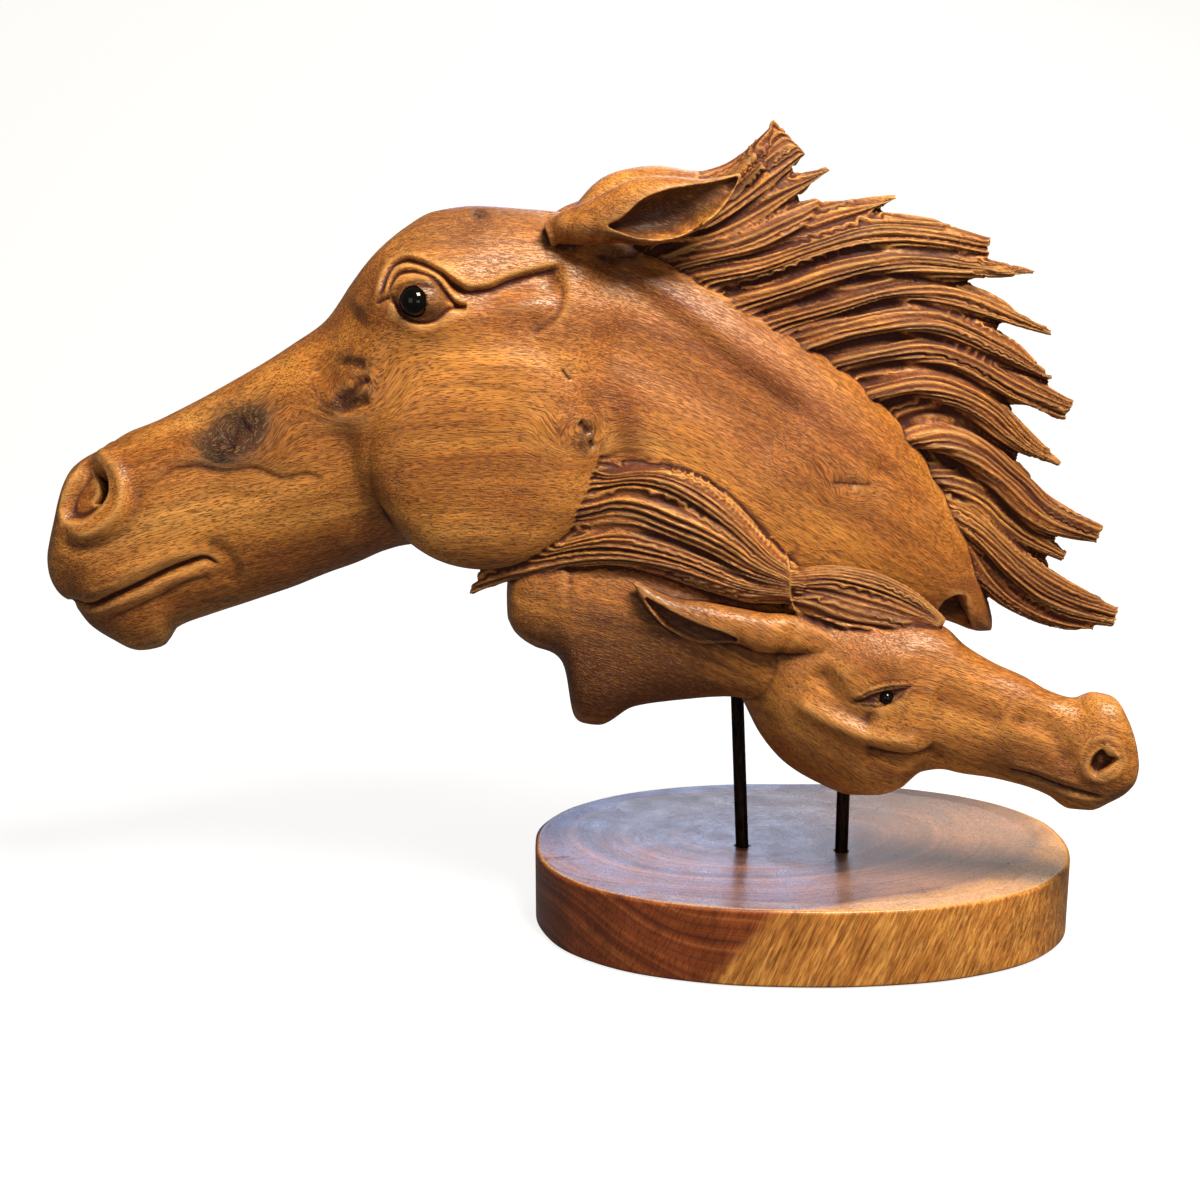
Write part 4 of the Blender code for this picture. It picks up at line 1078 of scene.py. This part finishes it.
def base_body():
    """The oval base: a half section turned round Z, pushed out at its corners and stretched.

    At angle a the reach grows by (|cos a|^power + |sin a|^power)^(-1 / power). The section
    runs from the underside over the rounded lower edge, the wall and the rounded upper edge
    to the rim, and down into the dish, which is depth * (1 - share^2.5) deep. Hand sanding
    leaves the wall uneven by sines of less than half a millimetre, and the upper edge worn,
    with one small chip.
    """
    r = BASE_EDGE_ROUND
    edge = BASE_HALF_DEPTH
    turn = np.linspace(0.0, 0.5 * math.pi, 9)
    under = np.stack((np.linspace(2.0, edge - r - 0.1, 30), np.zeros(30)), axis=-1)
    lower = np.stack((edge - r + r * np.sin(turn), r - r * np.cos(turn)), axis=-1)
    wall_z = np.linspace(r, BASE_HEIGHT - r, 26)[1:-1]
    wall = np.stack((np.full(24, edge), wall_z), axis=-1)
    upper = np.stack((edge - r + r * np.cos(turn), BASE_HEIGHT - r + r * np.sin(turn)), axis=-1)
    share = np.linspace(1.0, 0.02, 90)
    dish_edge = edge - BASE_RIM
    rim_reach = np.linspace(edge - r - 0.6, dish_edge + 0.6, 9)
    rim = np.stack((rim_reach, np.full(9, BASE_HEIGHT)), axis=-1)
    dish = np.stack((dish_edge * share, BASE_HEIGHT - BASE_DISH * (1.0 - share ** 2.5)), axis=-1)
    profile = np.vstack((under, lower, wall, upper, rim, dish))
    angle = turn_of(360)
    radius, height = profile[:, 0:1], profile[:, 1:2]
    outer = ease(radius, 60.0, 79.0)
    on_edge = ease(height, 26.0, 35.5) * outer
    uneven = 0.22 * np.sin(3 * angle + 0.6) + 0.14 * np.sin(7 * angle)
    uneven = uneven + 0.09 * np.sin(17 * angle + 2)
    chip = 0.7 * np.exp(-(((angle - 3.42) / 0.012) ** 2))
    reach = radius + uneven * outer - 0.2 - chip * on_edge * 0.6
    drop = (0.12 * np.abs(np.sin(11 * angle) * np.sin(5.3 * angle)) + chip * 0.8) * on_edge
    corner = np.abs(np.cos(angle)) ** BASE_POWER + np.abs(np.sin(angle)) ** BASE_POWER
    corner = corner ** (-1.0 / BASE_POWER)
    x = reach * corner * BASE_HALF_LENGTH / BASE_HALF_DEPTH * np.cos(angle)
    y = reach * corner * np.sin(angle)
    z = height + 0.0 * angle - drop
    return skin(np.stack((x, y, z), axis=-1))


def bored(mesh, bodies):
    """The mesh with closed bodies taken out of it."""
    cutter = bpy.data.objects.new("cutter", wood_mesh("cutter", bodies))
    bpy.context.scene.collection.objects.link(cutter)
    done = with_modifier(
        mesh, "BOOLEAN", operation="DIFFERENCE", solver="MANIFOLD", object=cutter)
    bpy.data.objects.remove(cutter)
    return done


# Materials

# Settings and output of a Mix node for colours: 0 is the share of the second one, 6 and 7 are
# the two colours
MIX = {"data_type": "RGBA", "out": 2}


def linear(code):
    """An sRGB hex colour as linear light."""
    parts = [int(code[i:i + 2], 16) / 255.0 for i in (1, 3, 5)]
    return (*[p / 12.92 if p <= 0.04045 else ((p + 0.055) / 1.055) ** 2.4 for p in parts], 1.0)


def set_inputs(tree, node, inputs):
    """Gives a node's inputs, by name or in order, a number, a colour or another's output."""
    for key, value in (inputs if isinstance(inputs, dict) else dict(enumerate(inputs))).items():
        if isinstance(value, bpy.types.NodeSocket):
            tree.links.new(value, node.inputs[key])
        else:
            node.inputs[key].default_value = value


def add(tree, kind, inputs=(), out=0, stops=(), **settings):
    """Adds a node with its settings and links, and gives one of its outputs.

    Stops are the places and hex colours of a colour ramp, from low to high.
    """
    node = tree.nodes.new("ShaderNode" + kind)
    for key, value in settings.items():
        setattr(node, key, value)
    set_inputs(tree, node, inputs)
    for index, (place, code) in enumerate(stops):
        marks = node.color_ramp.elements
        mark = marks[index] if index < 2 else marks.new(place)
        mark.position = place
        mark.color = linear(code)
    return node.outputs[out]


def tinted_by(tree, colour, field, span, code):
    """A second colour worked in by a field.

    span is the field's value where it starts, the value where it ends, and the share of the
    second colour at both.
    """
    share = add(tree, "MapRange", (field, *span))
    return add(tree, "Mix", {0: share, 6: colour, 7: linear(code)}, **MIX)


def toned_by(tree, colour, field, span):
    """The colour times a grey that follows a field; span is as in tinted_by."""
    grey = add(tree, "MapRange", (field, *span))
    return add(tree, "Mix", {0: 1.0, 6: colour, 7: grey}, blend_type="MULTIPLY", **MIX)


def new_material(name):
    """An empty material with a surface shader wired to its output."""
    material = bpy.data.materials.new(name)
    material.use_nodes = True
    tree = material.node_tree
    tree.nodes.clear()
    shader = tree.nodes.new("ShaderNodeBsdfPrincipled")
    output = tree.nodes.new("ShaderNodeOutputMaterial")
    tree.links.new(shader.outputs["BSDF"], output.inputs["Surface"])
    return material, tree, shader


# Stains of the wood and painted shade, as ovals: centre, half length and half height of the oval,
# its turn, share of it over which the edge fades, strength and colour
STAINS_AND_SHADE = (
    # painted shade on the foal's neck under the big head and on the foal's jaw, under the big
    # horse's chin, on the mane's lower end and under the foal's nose; painted shade in the hollow
    # at the end of the neck, and in the pit at the root of the ear and the hair behind it
    ((-82, 132), (66, 46), -0.1, 0.7, 0.84, "#3E1A08"),
    ((6, 100), (34, 26), 0.3, 0.9, 0.35, "#5A2C10"),
    ((-330, 150), (50, 30), 0.4, 0.9, 0.4, "#5A2C10"),
    ((112, 186), (52, 56), 0.4, 0.9, 0.22, "#4A1A06"),
    ((96, 94), (46, 17), -0.3, 0.9, 0.75, "#643414"),
    ((64, 152), (9, 8), 0.3, 0.7, 0.9, "#140602"),
    ((-84, 308), (20, 9), 0.2, 0.9, 0.7, "#2A1006"),
    ((-72, 325), (36, 15), 0.3, 0.9, 0.5, "#54301E"),
    # the brow darker, painted shade in the long hollows of the neck, and painted shade behind the
    # jaw
    ((-150, 320), (50, 17), 0.05, 0.9, 0.65, "#6A4430"),
    ((-62, 290), (46, 8), -0.58, 0.9, 0.85, "#74390F"),
    ((-16, 255), (40, 8), -0.7, 0.9, 0.8, "#7A3E14"),
    ((-50, 252), (54, 10), -0.55, 0.9, 0.55, "#84461A"),
    ((-82, 236), (10, 36), 0.2, 0.9, 0.7, "#703614"),
    # painted shade in the open sides of the ears
    ((-64, 327.5), (30, 10), 0.36, 0.5, 0.78, "#32160C"),
    ((-55, 155), (24, 6), -0.45, 0.5, 0.5, "#3A1A0C"),
    # painted shade round the eyes: in the big horse's eye socket and in front of it, and in the
    # foal's slit between the lids
    ((-168.2, 291.4), (13.4, 10.4), -0.16, 0.35, 0.78, "#40200E"),
    ((-187, 295), (9, 12), 0.0, 0.9, 0.5, "#4E2812"),
    ((27, 125.4), (15, 4.8), 0.28, 0.5, 0.85, "#2E1206"),
    # knots
    ((-251, 234), (27, 18), 0.5, 0.6, 0.65, "#7A5638"),
    ((-252, 232), (21, 13), 0.6, 0.5, 0.92, "#382C24"),
    ((-256, 226), (10, 7), 0.7, 0.7, 0.97, "#120E0A"),
    ((-246, 237), (8, 5), 0.4, 0.8, 0.9, "#1C1410"),
    ((-203, 256), (30, 19), 0.3, 0.9, 0.55, "#7A4018"),
    ((-197, 265), (13, 4.2), -0.1, 0.8, 0.85, "#2A160C"),
    ((-201, 249), (18, 6), 0.45, 0.8, 0.92, "#200E06"),
    ((-102, 238), (15, 20), -0.25, 0.7, 0.5, "#7E4018"),
    ((-99, 235), (7, 12), -0.3, 0.7, 0.75, "#30140A"),
    ((12, 213), (22, 3.2), 0.0, 0.9, 0.55, "#6A3A16"),
    ((34, 208), (16, 4), -0.3, 0.9, 0.4, "#7A4218"),
    ((-145, 325), (6, 3.2), -0.1, 0.7, 0.85, "#2E160C"),
)
# Each oval of stain and of painted shade fades where the length of the place over its half sizes,
# plus the growth lines times this much, comes to the second number
STAIN_AND_SHADE_RAGGED = 0.8
STAIN_AND_SHADE_END = 1.45


def oiled_suar():
    """Suar wood, carved by hand, sanded and oiled to a satin.

    The eye sees warm golden brown with slow darker bands along the grain, crowded short dark
    pores with light flecks between them, and a soft gloss on the high places. Dark stain and
    painted shade lie in every groove and hollow, painted highlight and rubbed wear make the high
    places paler, and painted shade darkens the undersides, pits, ears' open sides and eye
    sockets. Pores are 0.3 mm wide in the wood, and drawn 0.5 mm wide so that they show.
    """
    material, tree, shader = new_material("oiled_suar_carving")
    grain = add(tree, "Attribute", out="Vector", attribute_name="grain")
    hollow, hair_part, strand = (
        add(tree, "Attribute", out="Fac", attribute_name=name)
        for name in ("hollow", "hair", "strand"))
    place = add(tree, "TexCoord", out="Object")
    x = add(tree, "SeparateXYZ", (place,), out="X")

    # bands 28 mm apart across the grain, growth lines 3.3 mm, streaks 1 mm, pores 0.5 mm, and
    # round dots of 0.6 mm where the knife cut across the grain
    bands, lines, streaks, short, round_dots = (
        add(tree, "TexNoise", {
            "Vector": add(tree, "Mapping", {"Vector": grain, "Scale": stretch}),
            "Scale": scale, "Detail": detail, "Roughness": rough, "Distortion": twist})
        for stretch, scale, detail, rough, twist in (
            ((0.14, 0.7, 1.0), 36.0, 4.0, 0.5, 0.4),
            ((0.06, 0.6, 1.0), 300.0, 4.0, 0.6, 0.3),
            ((0.08, 0.8, 1.0), 1000.0, 2.0, 0.6, 0.0),
            ((0.14, 0.8, 1.0), 2100.0, 1.0, 0.5, 0.0),
            ((0.6, 1.0, 1.0), 1550.0, 0.0, 0.5, 0.0),
        ))
    # patches 45 mm wide
    patches = add(tree, "TexNoise", {
        "Vector": place, "Scale": 22.0, "Detail": 2.0, "Roughness": 0.5})

    colour = add(tree, "ValToRGB", (bands,), stops=(
        (0.3, "#7E441A"), (0.42, "#A46226"), (0.52, "#BA7630"), (0.61, "#CE8A3E"),
        (0.7, "#DE9E52")))
    colour = tinted_by(tree, colour, patches, (0.5, 0.75, 0.0, 0.5), "#8E4416")
    colour = toned_by(tree, colour, lines, (0.36, 0.62, 0.72, 1.1))
    colour = toned_by(tree, colour, streaks, (0.38, 0.62, 0.78, 1.1))

    # stains of the wood and painted shade: ovals with edges made ragged by the growth lines
    stains_and_shade = 0.0
    for (sx, sz), (long, high), turn, edge, strength, code in STAINS_AND_SHADE:
        offset = add(tree, "VectorMath", (place, (sx * MM, 0.0, sz * MM)), operation="SUBTRACT")
        turned = add(tree, "Mapping", {"Vector": offset, "Rotation": (0.0, turn, 0.0)})
        share = add(tree, "VectorMath", (
            turned, (1.0 / (long * MM), 0.0, 1.0 / (high * MM))), operation="MULTIPLY")
        far = add(tree, "VectorMath", (share,), out="Value", operation="LENGTH")
        ragged = add(tree, "Math", (lines, STAIN_AND_SHADE_RAGGED, far), operation="MULTIPLY_ADD")
        mask = add(tree, "MapRange", (
            ragged, STAIN_AND_SHADE_END - edge, STAIN_AND_SHADE_END, strength, 0.0),
            interpolation_type="SMOOTHSTEP")
        colour = add(tree, "Mix", {0: mask, 6: colour, 7: linear(code)}, **MIX)
        stains_and_shade = add(tree, "Math", (stains_and_shade, mask), operation="MAXIMUM")

    # pores, and dots where the patches let them show, with pale flecks between them
    across = add(tree, "MapRange", (patches, 0.42, 0.56))
    pore = add(tree, "MapRange", (short, 0.54, 0.63, 0.0, 0.72))
    dot = add(tree, "MapRange", (round_dots, 0.58, 0.66, 0.0, 0.45))
    dot = add(tree, "Math", (dot, across), operation="MULTIPLY")
    pores = add(tree, "Math", (pore, dot), operation="MAXIMUM")
    colour = add(tree, "Mix", {0: pores, 6: colour, 7: linear("#66320F")}, **MIX)
    colour = tinted_by(tree, colour, short, (0.44, 0.36, 0.0, 0.22), "#E4A058")

    # locks differ in tone and stay so along their length, and finer hairs run on them: noise
    # over the strand's number and the place along X
    locks, hairs = (
        add(tree, "TexNoise", {
            "Vector": add(tree, "CombineXYZ", (
                strand, add(tree, "Math", (x, stretch), operation="MULTIPLY"))),
            "Scale": scale, "Detail": detail, "Roughness": rough})
        for stretch, scale, detail, rough in ((22.0, 0.55, 2.0, 0.6), (40.0, 3.6, 3.0, 0.65)))
    toned = toned_by(tree, colour, locks, (0.36, 0.6, 0.42, 1.45))
    colour = add(tree, "Mix", {0: hair_part, 6: colour, 7: toned}, **MIX)

    # dark stain and painted shade in the grooves between the strands, |sin(pi * number)| as in the
    # mesh, and between the fine hairs
    groove = add(tree, "Math", (strand, math.pi), operation="MULTIPLY")
    groove = add(tree, "Math", (groove,), operation="SINE")
    groove = add(tree, "Math", (groove,), operation="ABSOLUTE")
    groove = add(tree, "MapRange", (groove, 0.4, 0.95, 0.0, 0.75))
    fine_dark = add(tree, "MapRange", (hairs, 0.38, 0.58, 0.7, 0.0))
    in_hair = add(tree, "Math", (groove, fine_dark), operation="MAXIMUM")
    in_hair = add(tree, "Math", (in_hair, hair_part), operation="MULTIPLY")
    colour = add(tree, "Mix", {0: in_hair, 6: colour, 7: linear("#531A05")}, **MIX)

    # dark stain and painted shade in every hollow, and high places painted paler as rubbed wear and
    # painted highlight, less so where a stain or painted shade lies
    dark = add(tree, "MapRange", (hollow, 0.08, 0.7, 0.0, 0.95))
    colour = add(tree, "Mix", {0: dark, 6: colour, 7: linear("#3E1003")}, **MIX)
    rubbed = add(tree, "MapRange", (hollow, -0.1, -0.8, 0.0, 0.4))
    unmarked = add(tree, "Math", (1.0, stains_and_shade), operation="SUBTRACT")
    rubbed = add(tree, "Math", (rubbed, unmarked), operation="MULTIPLY")
    colour = add(tree, "Mix", {0: rubbed, 6: colour, 7: linear("#E8B068")}, **MIX)

    # grooves are rougher than the sanded wood
    grooved = add(tree, "Math", (in_hair, dark), operation="MAXIMUM")
    rough = add(tree, "MapRange", (lines, 0.3, 0.7, 0.31, 0.44))
    rough = add(tree, "Math", (pores, 0.25, rough), operation="MULTIPLY_ADD")
    rough = add(tree, "Math", (grooved, 0.35, rough), operation="MULTIPLY_ADD")
    height = add(tree, "Math", (pores, -1.0, streaks), operation="MULTIPLY_ADD")
    height = add(tree, "Math", (in_hair, -2.6, height), operation="MULTIPLY_ADD")
    relief = add(tree, "Bump", {"Strength": 0.9, "Distance": 0.00022, "Height": height})
    set_inputs(tree, shader, {
        "Base Color": colour, "Roughness": rough, "Normal": relief, "IOR": 1.5,
        "Specular IOR Level": 0.4, "Coat Weight": 0.05, "Coat Roughness": 0.3})
    return material


def polished_suar():
    """Suar heartwood and sapwood, sanded and lacquered.

    The eye sees a purple brown top whose rings run round a heart left of the middle, with painted
    light that makes it paler towards the right where the sculptures shade it, a pale crescent of
    sapwood at its right front, a wall that goes from red brown figure on the left over a slanting
    seam to golden sapwood with steep streaks, a thin pale edge of wear and painted highlight, and
    a clear satin coat.
    """
    material, tree, shader = new_material("polished_suar_base")
    place = add(tree, "TexCoord", out="Object")
    x, z = (add(tree, "SeparateXYZ", (place,), out=axis) for axis in ("X", "Z"))
    on_wall = add(tree, "Attribute", out="Fac", attribute_name="wall")
    # slow drift of the lines over 90 mm, and clouds of 17 mm
    wander = add(tree, "TexNoise", {
        "Vector": place, "Scale": 11.0, "Detail": 1.0, "Roughness": 0.4})
    speck = add(tree, "TexNoise", {
        "Vector": place, "Scale": 60.0, "Detail": 3.0, "Roughness": 0.6})

    # rings of the top, 10 mm apart: the length of the place less the heart's, 1.5 times as
    # long across
    oval = add(tree, "VectorMath", (place, (-0.02, 0.015, 0.034)), operation="SUBTRACT")
    oval = add(tree, "VectorMath", (oval, (1.0, 1.5, 0.0)), operation="MULTIPLY")
    ring = add(tree, "VectorMath", (oval,), out="Value", operation="LENGTH")
    ring = add(tree, "Math", (wander, 0.05, ring), operation="MULTIPLY_ADD")
    # figure of the wall's heartwood, 5 mm apart: one mm down for 4 mm to the right
    figure = add(tree, "Math", (wander, 0.05, z), operation="MULTIPLY_ADD")
    figure = add(tree, "Math", (x, 0.25, figure), operation="MULTIPLY_ADD")
    rings, swirls = (
        add(tree, "TexNoise", {
            "Vector": add(tree, "CombineXYZ", (value,)), "Scale": scale, "Detail": 4.0,
            "Roughness": 0.6})
        for value, scale in ((ring, 105.0), (figure, 190.0)))
    # steep streaks of the wall, 1.6 mm wide and 2.4 mm up for one mm to the right, and fibres
    # of 0.8 mm; on the top they are dots
    squeezed = add(tree, "VectorMath", (place, (1.0, 1.0, 0.1)), operation="MULTIPLY")
    lean = add(tree, "CombineXYZ", (add(tree, "Math", (z, 0.42), operation="MULTIPLY"),))
    lean = add(tree, "VectorMath", (squeezed, lean), operation="SUBTRACT")
    streaks = add(tree, "TexNoise", {
        "Vector": lean, "Scale": 620.0, "Detail": 3.0, "Roughness": 0.65})
    fibres = add(tree, "TexNoise", {"Vector": lean, "Scale": 1300.0, "Detail": 1.0})
    pores = add(tree, "MapRange", (fibres, 0.55, 0.62))

    # top: heartwood with painted light that makes it paler towards the right, where the sculptures
    # shade it, and sapwood beyond a ring
    heart = add(tree, "ValToRGB", (rings,), stops=(
        (0.34, "#3E2420"), (0.45, "#664034"), (0.54, "#805240"), (0.66, "#9C6A4C")))
    heart = tinted_by(tree, heart, x, (-0.02, 0.1, 0.0, 0.55), "#C09474")
    pale = add(tree, "MapRange", (ring, 0.157, 0.172), interpolation_type="SMOOTHSTEP")
    top = add(tree, "Mix", {0: pale, 6: heart, 7: linear("#C8925E")}, **MIX)
    # wall: heartwood left of a seam that leans to the right, sapwood right of it
    seam = add(tree, "Math", (wander, 0.03, x), operation="MULTIPLY_ADD")
    seam = add(tree, "Math", (z, -0.7, seam), operation="MULTIPLY_ADD")
    sap = add(tree, "MapRange", (seam, -0.037, -0.026), interpolation_type="SMOOTHSTEP")
    red = add(tree, "ValToRGB", (swirls,), stops=(
        (0.36, "#4E2010"), (0.45, "#7C3A18"), (0.54, "#94491F"), (0.64, "#A8602E")))
    gold = add(tree, "ValToRGB", (streaks,), stops=(
        (0.3, "#A8622A"), (0.5, "#CA843A"), (0.7, "#E0A458")))
    wall = add(tree, "Mix", {0: sap, 6: red, 7: gold}, **MIX)
    wood = add(tree, "Mix", {0: on_wall, 6: top, 7: wall}, **MIX)
    wood = toned_by(tree, wood, speck, (0.35, 0.65, 0.8, 1.12))
    wood = toned_by(tree, wood, streaks, (0.36, 0.64, 0.84, 1.1))
    faint = add(tree, "Math", (pores, 0.4), operation="MULTIPLY")
    wood = add(tree, "Mix", {0: faint, 6: wood, 7: linear("#3A1A0E")}, **MIX)
    # worn edge with a painted highlight on its rounded arris: a thin pale line where the wall meets
    # the top
    edge = add(tree, "Math", (on_wall, 0.6), operation="SUBTRACT")
    edge = add(tree, "Math", (edge,), operation="ABSOLUTE")
    edge = add(tree, "MapRange", (edge, 0.1, 0.4, 1.0, 0.0))
    worn = add(tree, "MapRange", (fibres, 0.4, 0.6, 0.2, 0.8))
    worn = add(tree, "Math", (worn, edge), operation="MULTIPLY")
    wood = add(tree, "Mix", {0: worn, 6: wood, 7: linear("#D8A862")}, **MIX)

    height = add(tree, "Math", (pores, -0.5, speck), operation="MULTIPLY_ADD")
    relief = add(tree, "Bump", {"Strength": 0.5, "Distance": 0.0003, "Height": height})
    rough = add(tree, "MapRange", (speck, 0.3, 0.7, 0.26, 0.46))
    set_inputs(tree, shader, {
        "Base Color": wood, "Roughness": rough, "Normal": relief, "IOR": 1.5,
        "Coat Weight": 0.2, "Coat Roughness": 0.2})
    return material


def blackened_steel():
    """Mild steel rod, blackened and waxed: dark, satin, with faint rubbed lengths."""
    material, tree, shader = new_material("blackened_steel_rod")
    place = add(tree, "TexCoord", out="Object")
    # rubbed lengths 1.4 mm wide and 7 mm long
    drawn = add(tree, "Mapping", {"Vector": place, "Scale": (1.0, 1.0, 0.2)})
    rubbed = add(tree, "TexNoise", {
        "Vector": drawn, "Scale": 700.0, "Detail": 4.0, "Roughness": 0.6})
    set_inputs(tree, shader, {
        "Base Color": add(tree, "ValToRGB", (rubbed,), stops=(
            (0.35, "#141210"), (0.75, "#3A322C"))),
        "Roughness": add(tree, "MapRange", (rubbed, 0.3, 0.7, 0.32, 0.52)),
        "Normal": add(tree, "Bump", {
            "Strength": 0.3, "Distance": 0.00008, "Height": rubbed}),
        "Metallic": 1.0})
    return material


def black_glass():
    """Pressed black glass bead: nearly black, very smooth, with a faint brown warmth."""
    material, tree, shader = new_material("black_glass_bead")
    place = add(tree, "TexCoord", out="Object")
    veil = add(tree, "TexNoise", {"Vector": place, "Scale": 260.0, "Detail": 2.0})
    set_inputs(tree, shader, {
        "Base Color": add(tree, "ValToRGB", (veil,), stops=(
            (0.3, "#030302"), (0.8, "#0C0806"))),
        "Roughness": add(tree, "MapRange", (veil, 0.3, 0.7, 0.04, 0.08)),
        "IOR": 1.52, "Specular IOR Level": 0.3})
    return material


# Pieces

def piece(name, mesh, material, slot, *nodes):
    """A finished piece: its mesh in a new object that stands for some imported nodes."""
    mesh.name = name
    mesh.materials.clear()
    mesh.materials.append(material)
    mesh.polygons.foreach_set("use_smooth", np.ones(len(mesh.polygons), bool))
    mesh.update()
    item = bpy.data.objects.new(name, mesh)
    bpy.context.scene.collection.objects.link(item)
    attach(item, "root")
    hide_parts(*nodes)


def add_pieces():
    """The eight pieces, with bores for the rods and seats for the beads."""
    steel, glass = blackened_steel(), black_glass()
    sockets = [pad_body(centre, (radius + GAP,) * 3, 2.0, (20, 36))
               for centre, radius in BEADS.values()]
    holes = [rod_body(rule, ROD_RADIUS + GAP, ROD_FOOT - GAP, rule[3] + GAP, (30, 32))
             for rule in RODS.values()]

    carving = bored(carving_mesh(), sockets + holes)
    add_carving_attributes(carving)
    piece("carved_horse_heads", carving, oiled_suar(), "carved_wood", "carved_horses")

    base = bored(wood_mesh("base", [base_body()]), holes)
    add_base_attribute(base)
    piece("oval_base", base, polished_suar(), "base_wood", "base")

    for node, rule in RODS.items():
        body = rod_body(rule, ROD_RADIUS, ROD_FOOT, rule[3])
        piece("steel_" + node, wood_mesh(node, [body]), steel, "blackened_steel", node)
    for node, (centre, radius) in BEADS.items():
        body = pad_body(centre, (radius,) * 3, 2.0, (40, 64))
        piece(node + "_bead", wood_mesh(node, [body]), glass, "black_bead", node)


# Room: floor, light and camera

# Lights: name, place, what they face, size, power in watts and colour
LIGHTS = (
    ("top", (0.3, -0.55, 1.2), (-0.1, 0.0, 0.2), (0.45, 0.45), 31.0, "#FFF4DC"),
    ("fill", (-0.9, -1.3, 0.5), (-0.1, 0.0, 0.2), (0.8, 0.8), 2.6, "#FFEFD8"),
    ("front", (0.5, -1.4, 0.3), (0.0, 0.0, 0.05), (0.6, 0.4), 2.0, "#FFF2E0"),
    ("window", (-0.06, 1.0, 0.42), (-0.04, 0.0, 0.03), (0.42, 0.3), 1.7, "#B4CBFF"),
    ("back", (0.3, 1.4, 1.1), (-0.1, 0.0, 0.2), (0.8, 0.8), 6.0, "#FFF6EA"),
)
# Brightness of the room's own light
ROOM_LIGHT = 0.13
# Camera: lens and sensor width in millimetres, place in metres, and degrees that it looks down
LENS = 54.54
SENSOR = 36.0
CAMERA_PLACE = (-0.094, -0.8, 0.357)
CAMERA_DOWN = 14.3


def area_light(name, place, target, size, power, code):
    """A soft light, a rectangle that faces a target."""
    data = bpy.data.lights.new(name, "AREA")
    data.shape = "RECTANGLE"
    data.size, data.size_y = size
    data.energy = power
    data.color = linear(code)[:3]
    item = bpy.data.objects.new(name, data)
    item.location = place
    x, y, z = np.array(target, float) - np.array(place, float)
    item.rotation_euler = (
        math.atan2(math.hypot(x, y), -z), 0.0, math.atan2(y, x) - 0.5 * math.pi)
    item.visible_camera = False
    bpy.context.scene.collection.objects.link(item)


def add_room():
    """A pale floor that turns up far behind into a wall, soft lights and the camera."""
    x = np.linspace(-6.0, 6.0, 13)[:, None]
    t = np.linspace(0.0, 1.0, 40)[None, :]
    bend = ease(t, 0.5, 0.75)
    y = -4.0 + 10.0 * t + 0.0 * x
    z = -0.0005 + 5.0 * bend * t + 0.0 * x
    points = np.stack((x + 0.0 * t, y, z), axis=-1)
    here = np.arange(points.size // 3).reshape(13, 40)
    quads = np.stack((here[:-1, :-1], here[1:, :-1], here[1:, 1:], here[:-1, 1:]), axis=-1)
    mesh = bpy.data.meshes.new("floor")
    mesh.from_pydata(points.reshape(-1, 3).tolist(), [], quads.reshape(-1, 4).tolist())
    mesh.polygons.foreach_set("use_smooth", np.ones(len(mesh.polygons), bool))
    material, tree, shader = new_material("pale_floor")
    set_inputs(tree, shader, {
        "Base Color": (0.25, 0.25, 0.25, 1.0), "Roughness": 0.9, "Specular IOR Level": 0.0,
        "Emission Color": linear("#FBFAF9"), "Emission Strength": 0.9})
    mesh.materials.append(material)
    floor = bpy.data.objects.new("floor", mesh)
    # the floor is seen and takes shadows, and throws no light back at the wood
    floor.visible_diffuse = False
    floor.visible_glossy = False
    bpy.context.scene.collection.objects.link(floor)

    for row in LIGHTS:
        area_light(*row)
    world = bpy.data.worlds.new("room")
    world.use_nodes = True
    sky = world.node_tree.nodes["Background"]
    sky.inputs["Color"].default_value = linear("#FFFFFF")
    sky.inputs["Strength"].default_value = ROOM_LIGHT
    bpy.context.scene.world = world
    bpy.context.scene.view_settings.view_transform = "Standard"

    data = bpy.data.cameras.new("camera")
    data.lens = LENS
    data.sensor_width = SENSOR
    camera = bpy.data.objects.new("camera", data)
    camera.location = CAMERA_PLACE
    camera.rotation_euler = (math.radians(90.0 - CAMERA_DOWN), 0.0, 0.0)
    bpy.context.scene.collection.objects.link(camera)
    bpy.context.scene.camera = camera


add_pieces()
add_room()

bpy.context.view_layer.update()
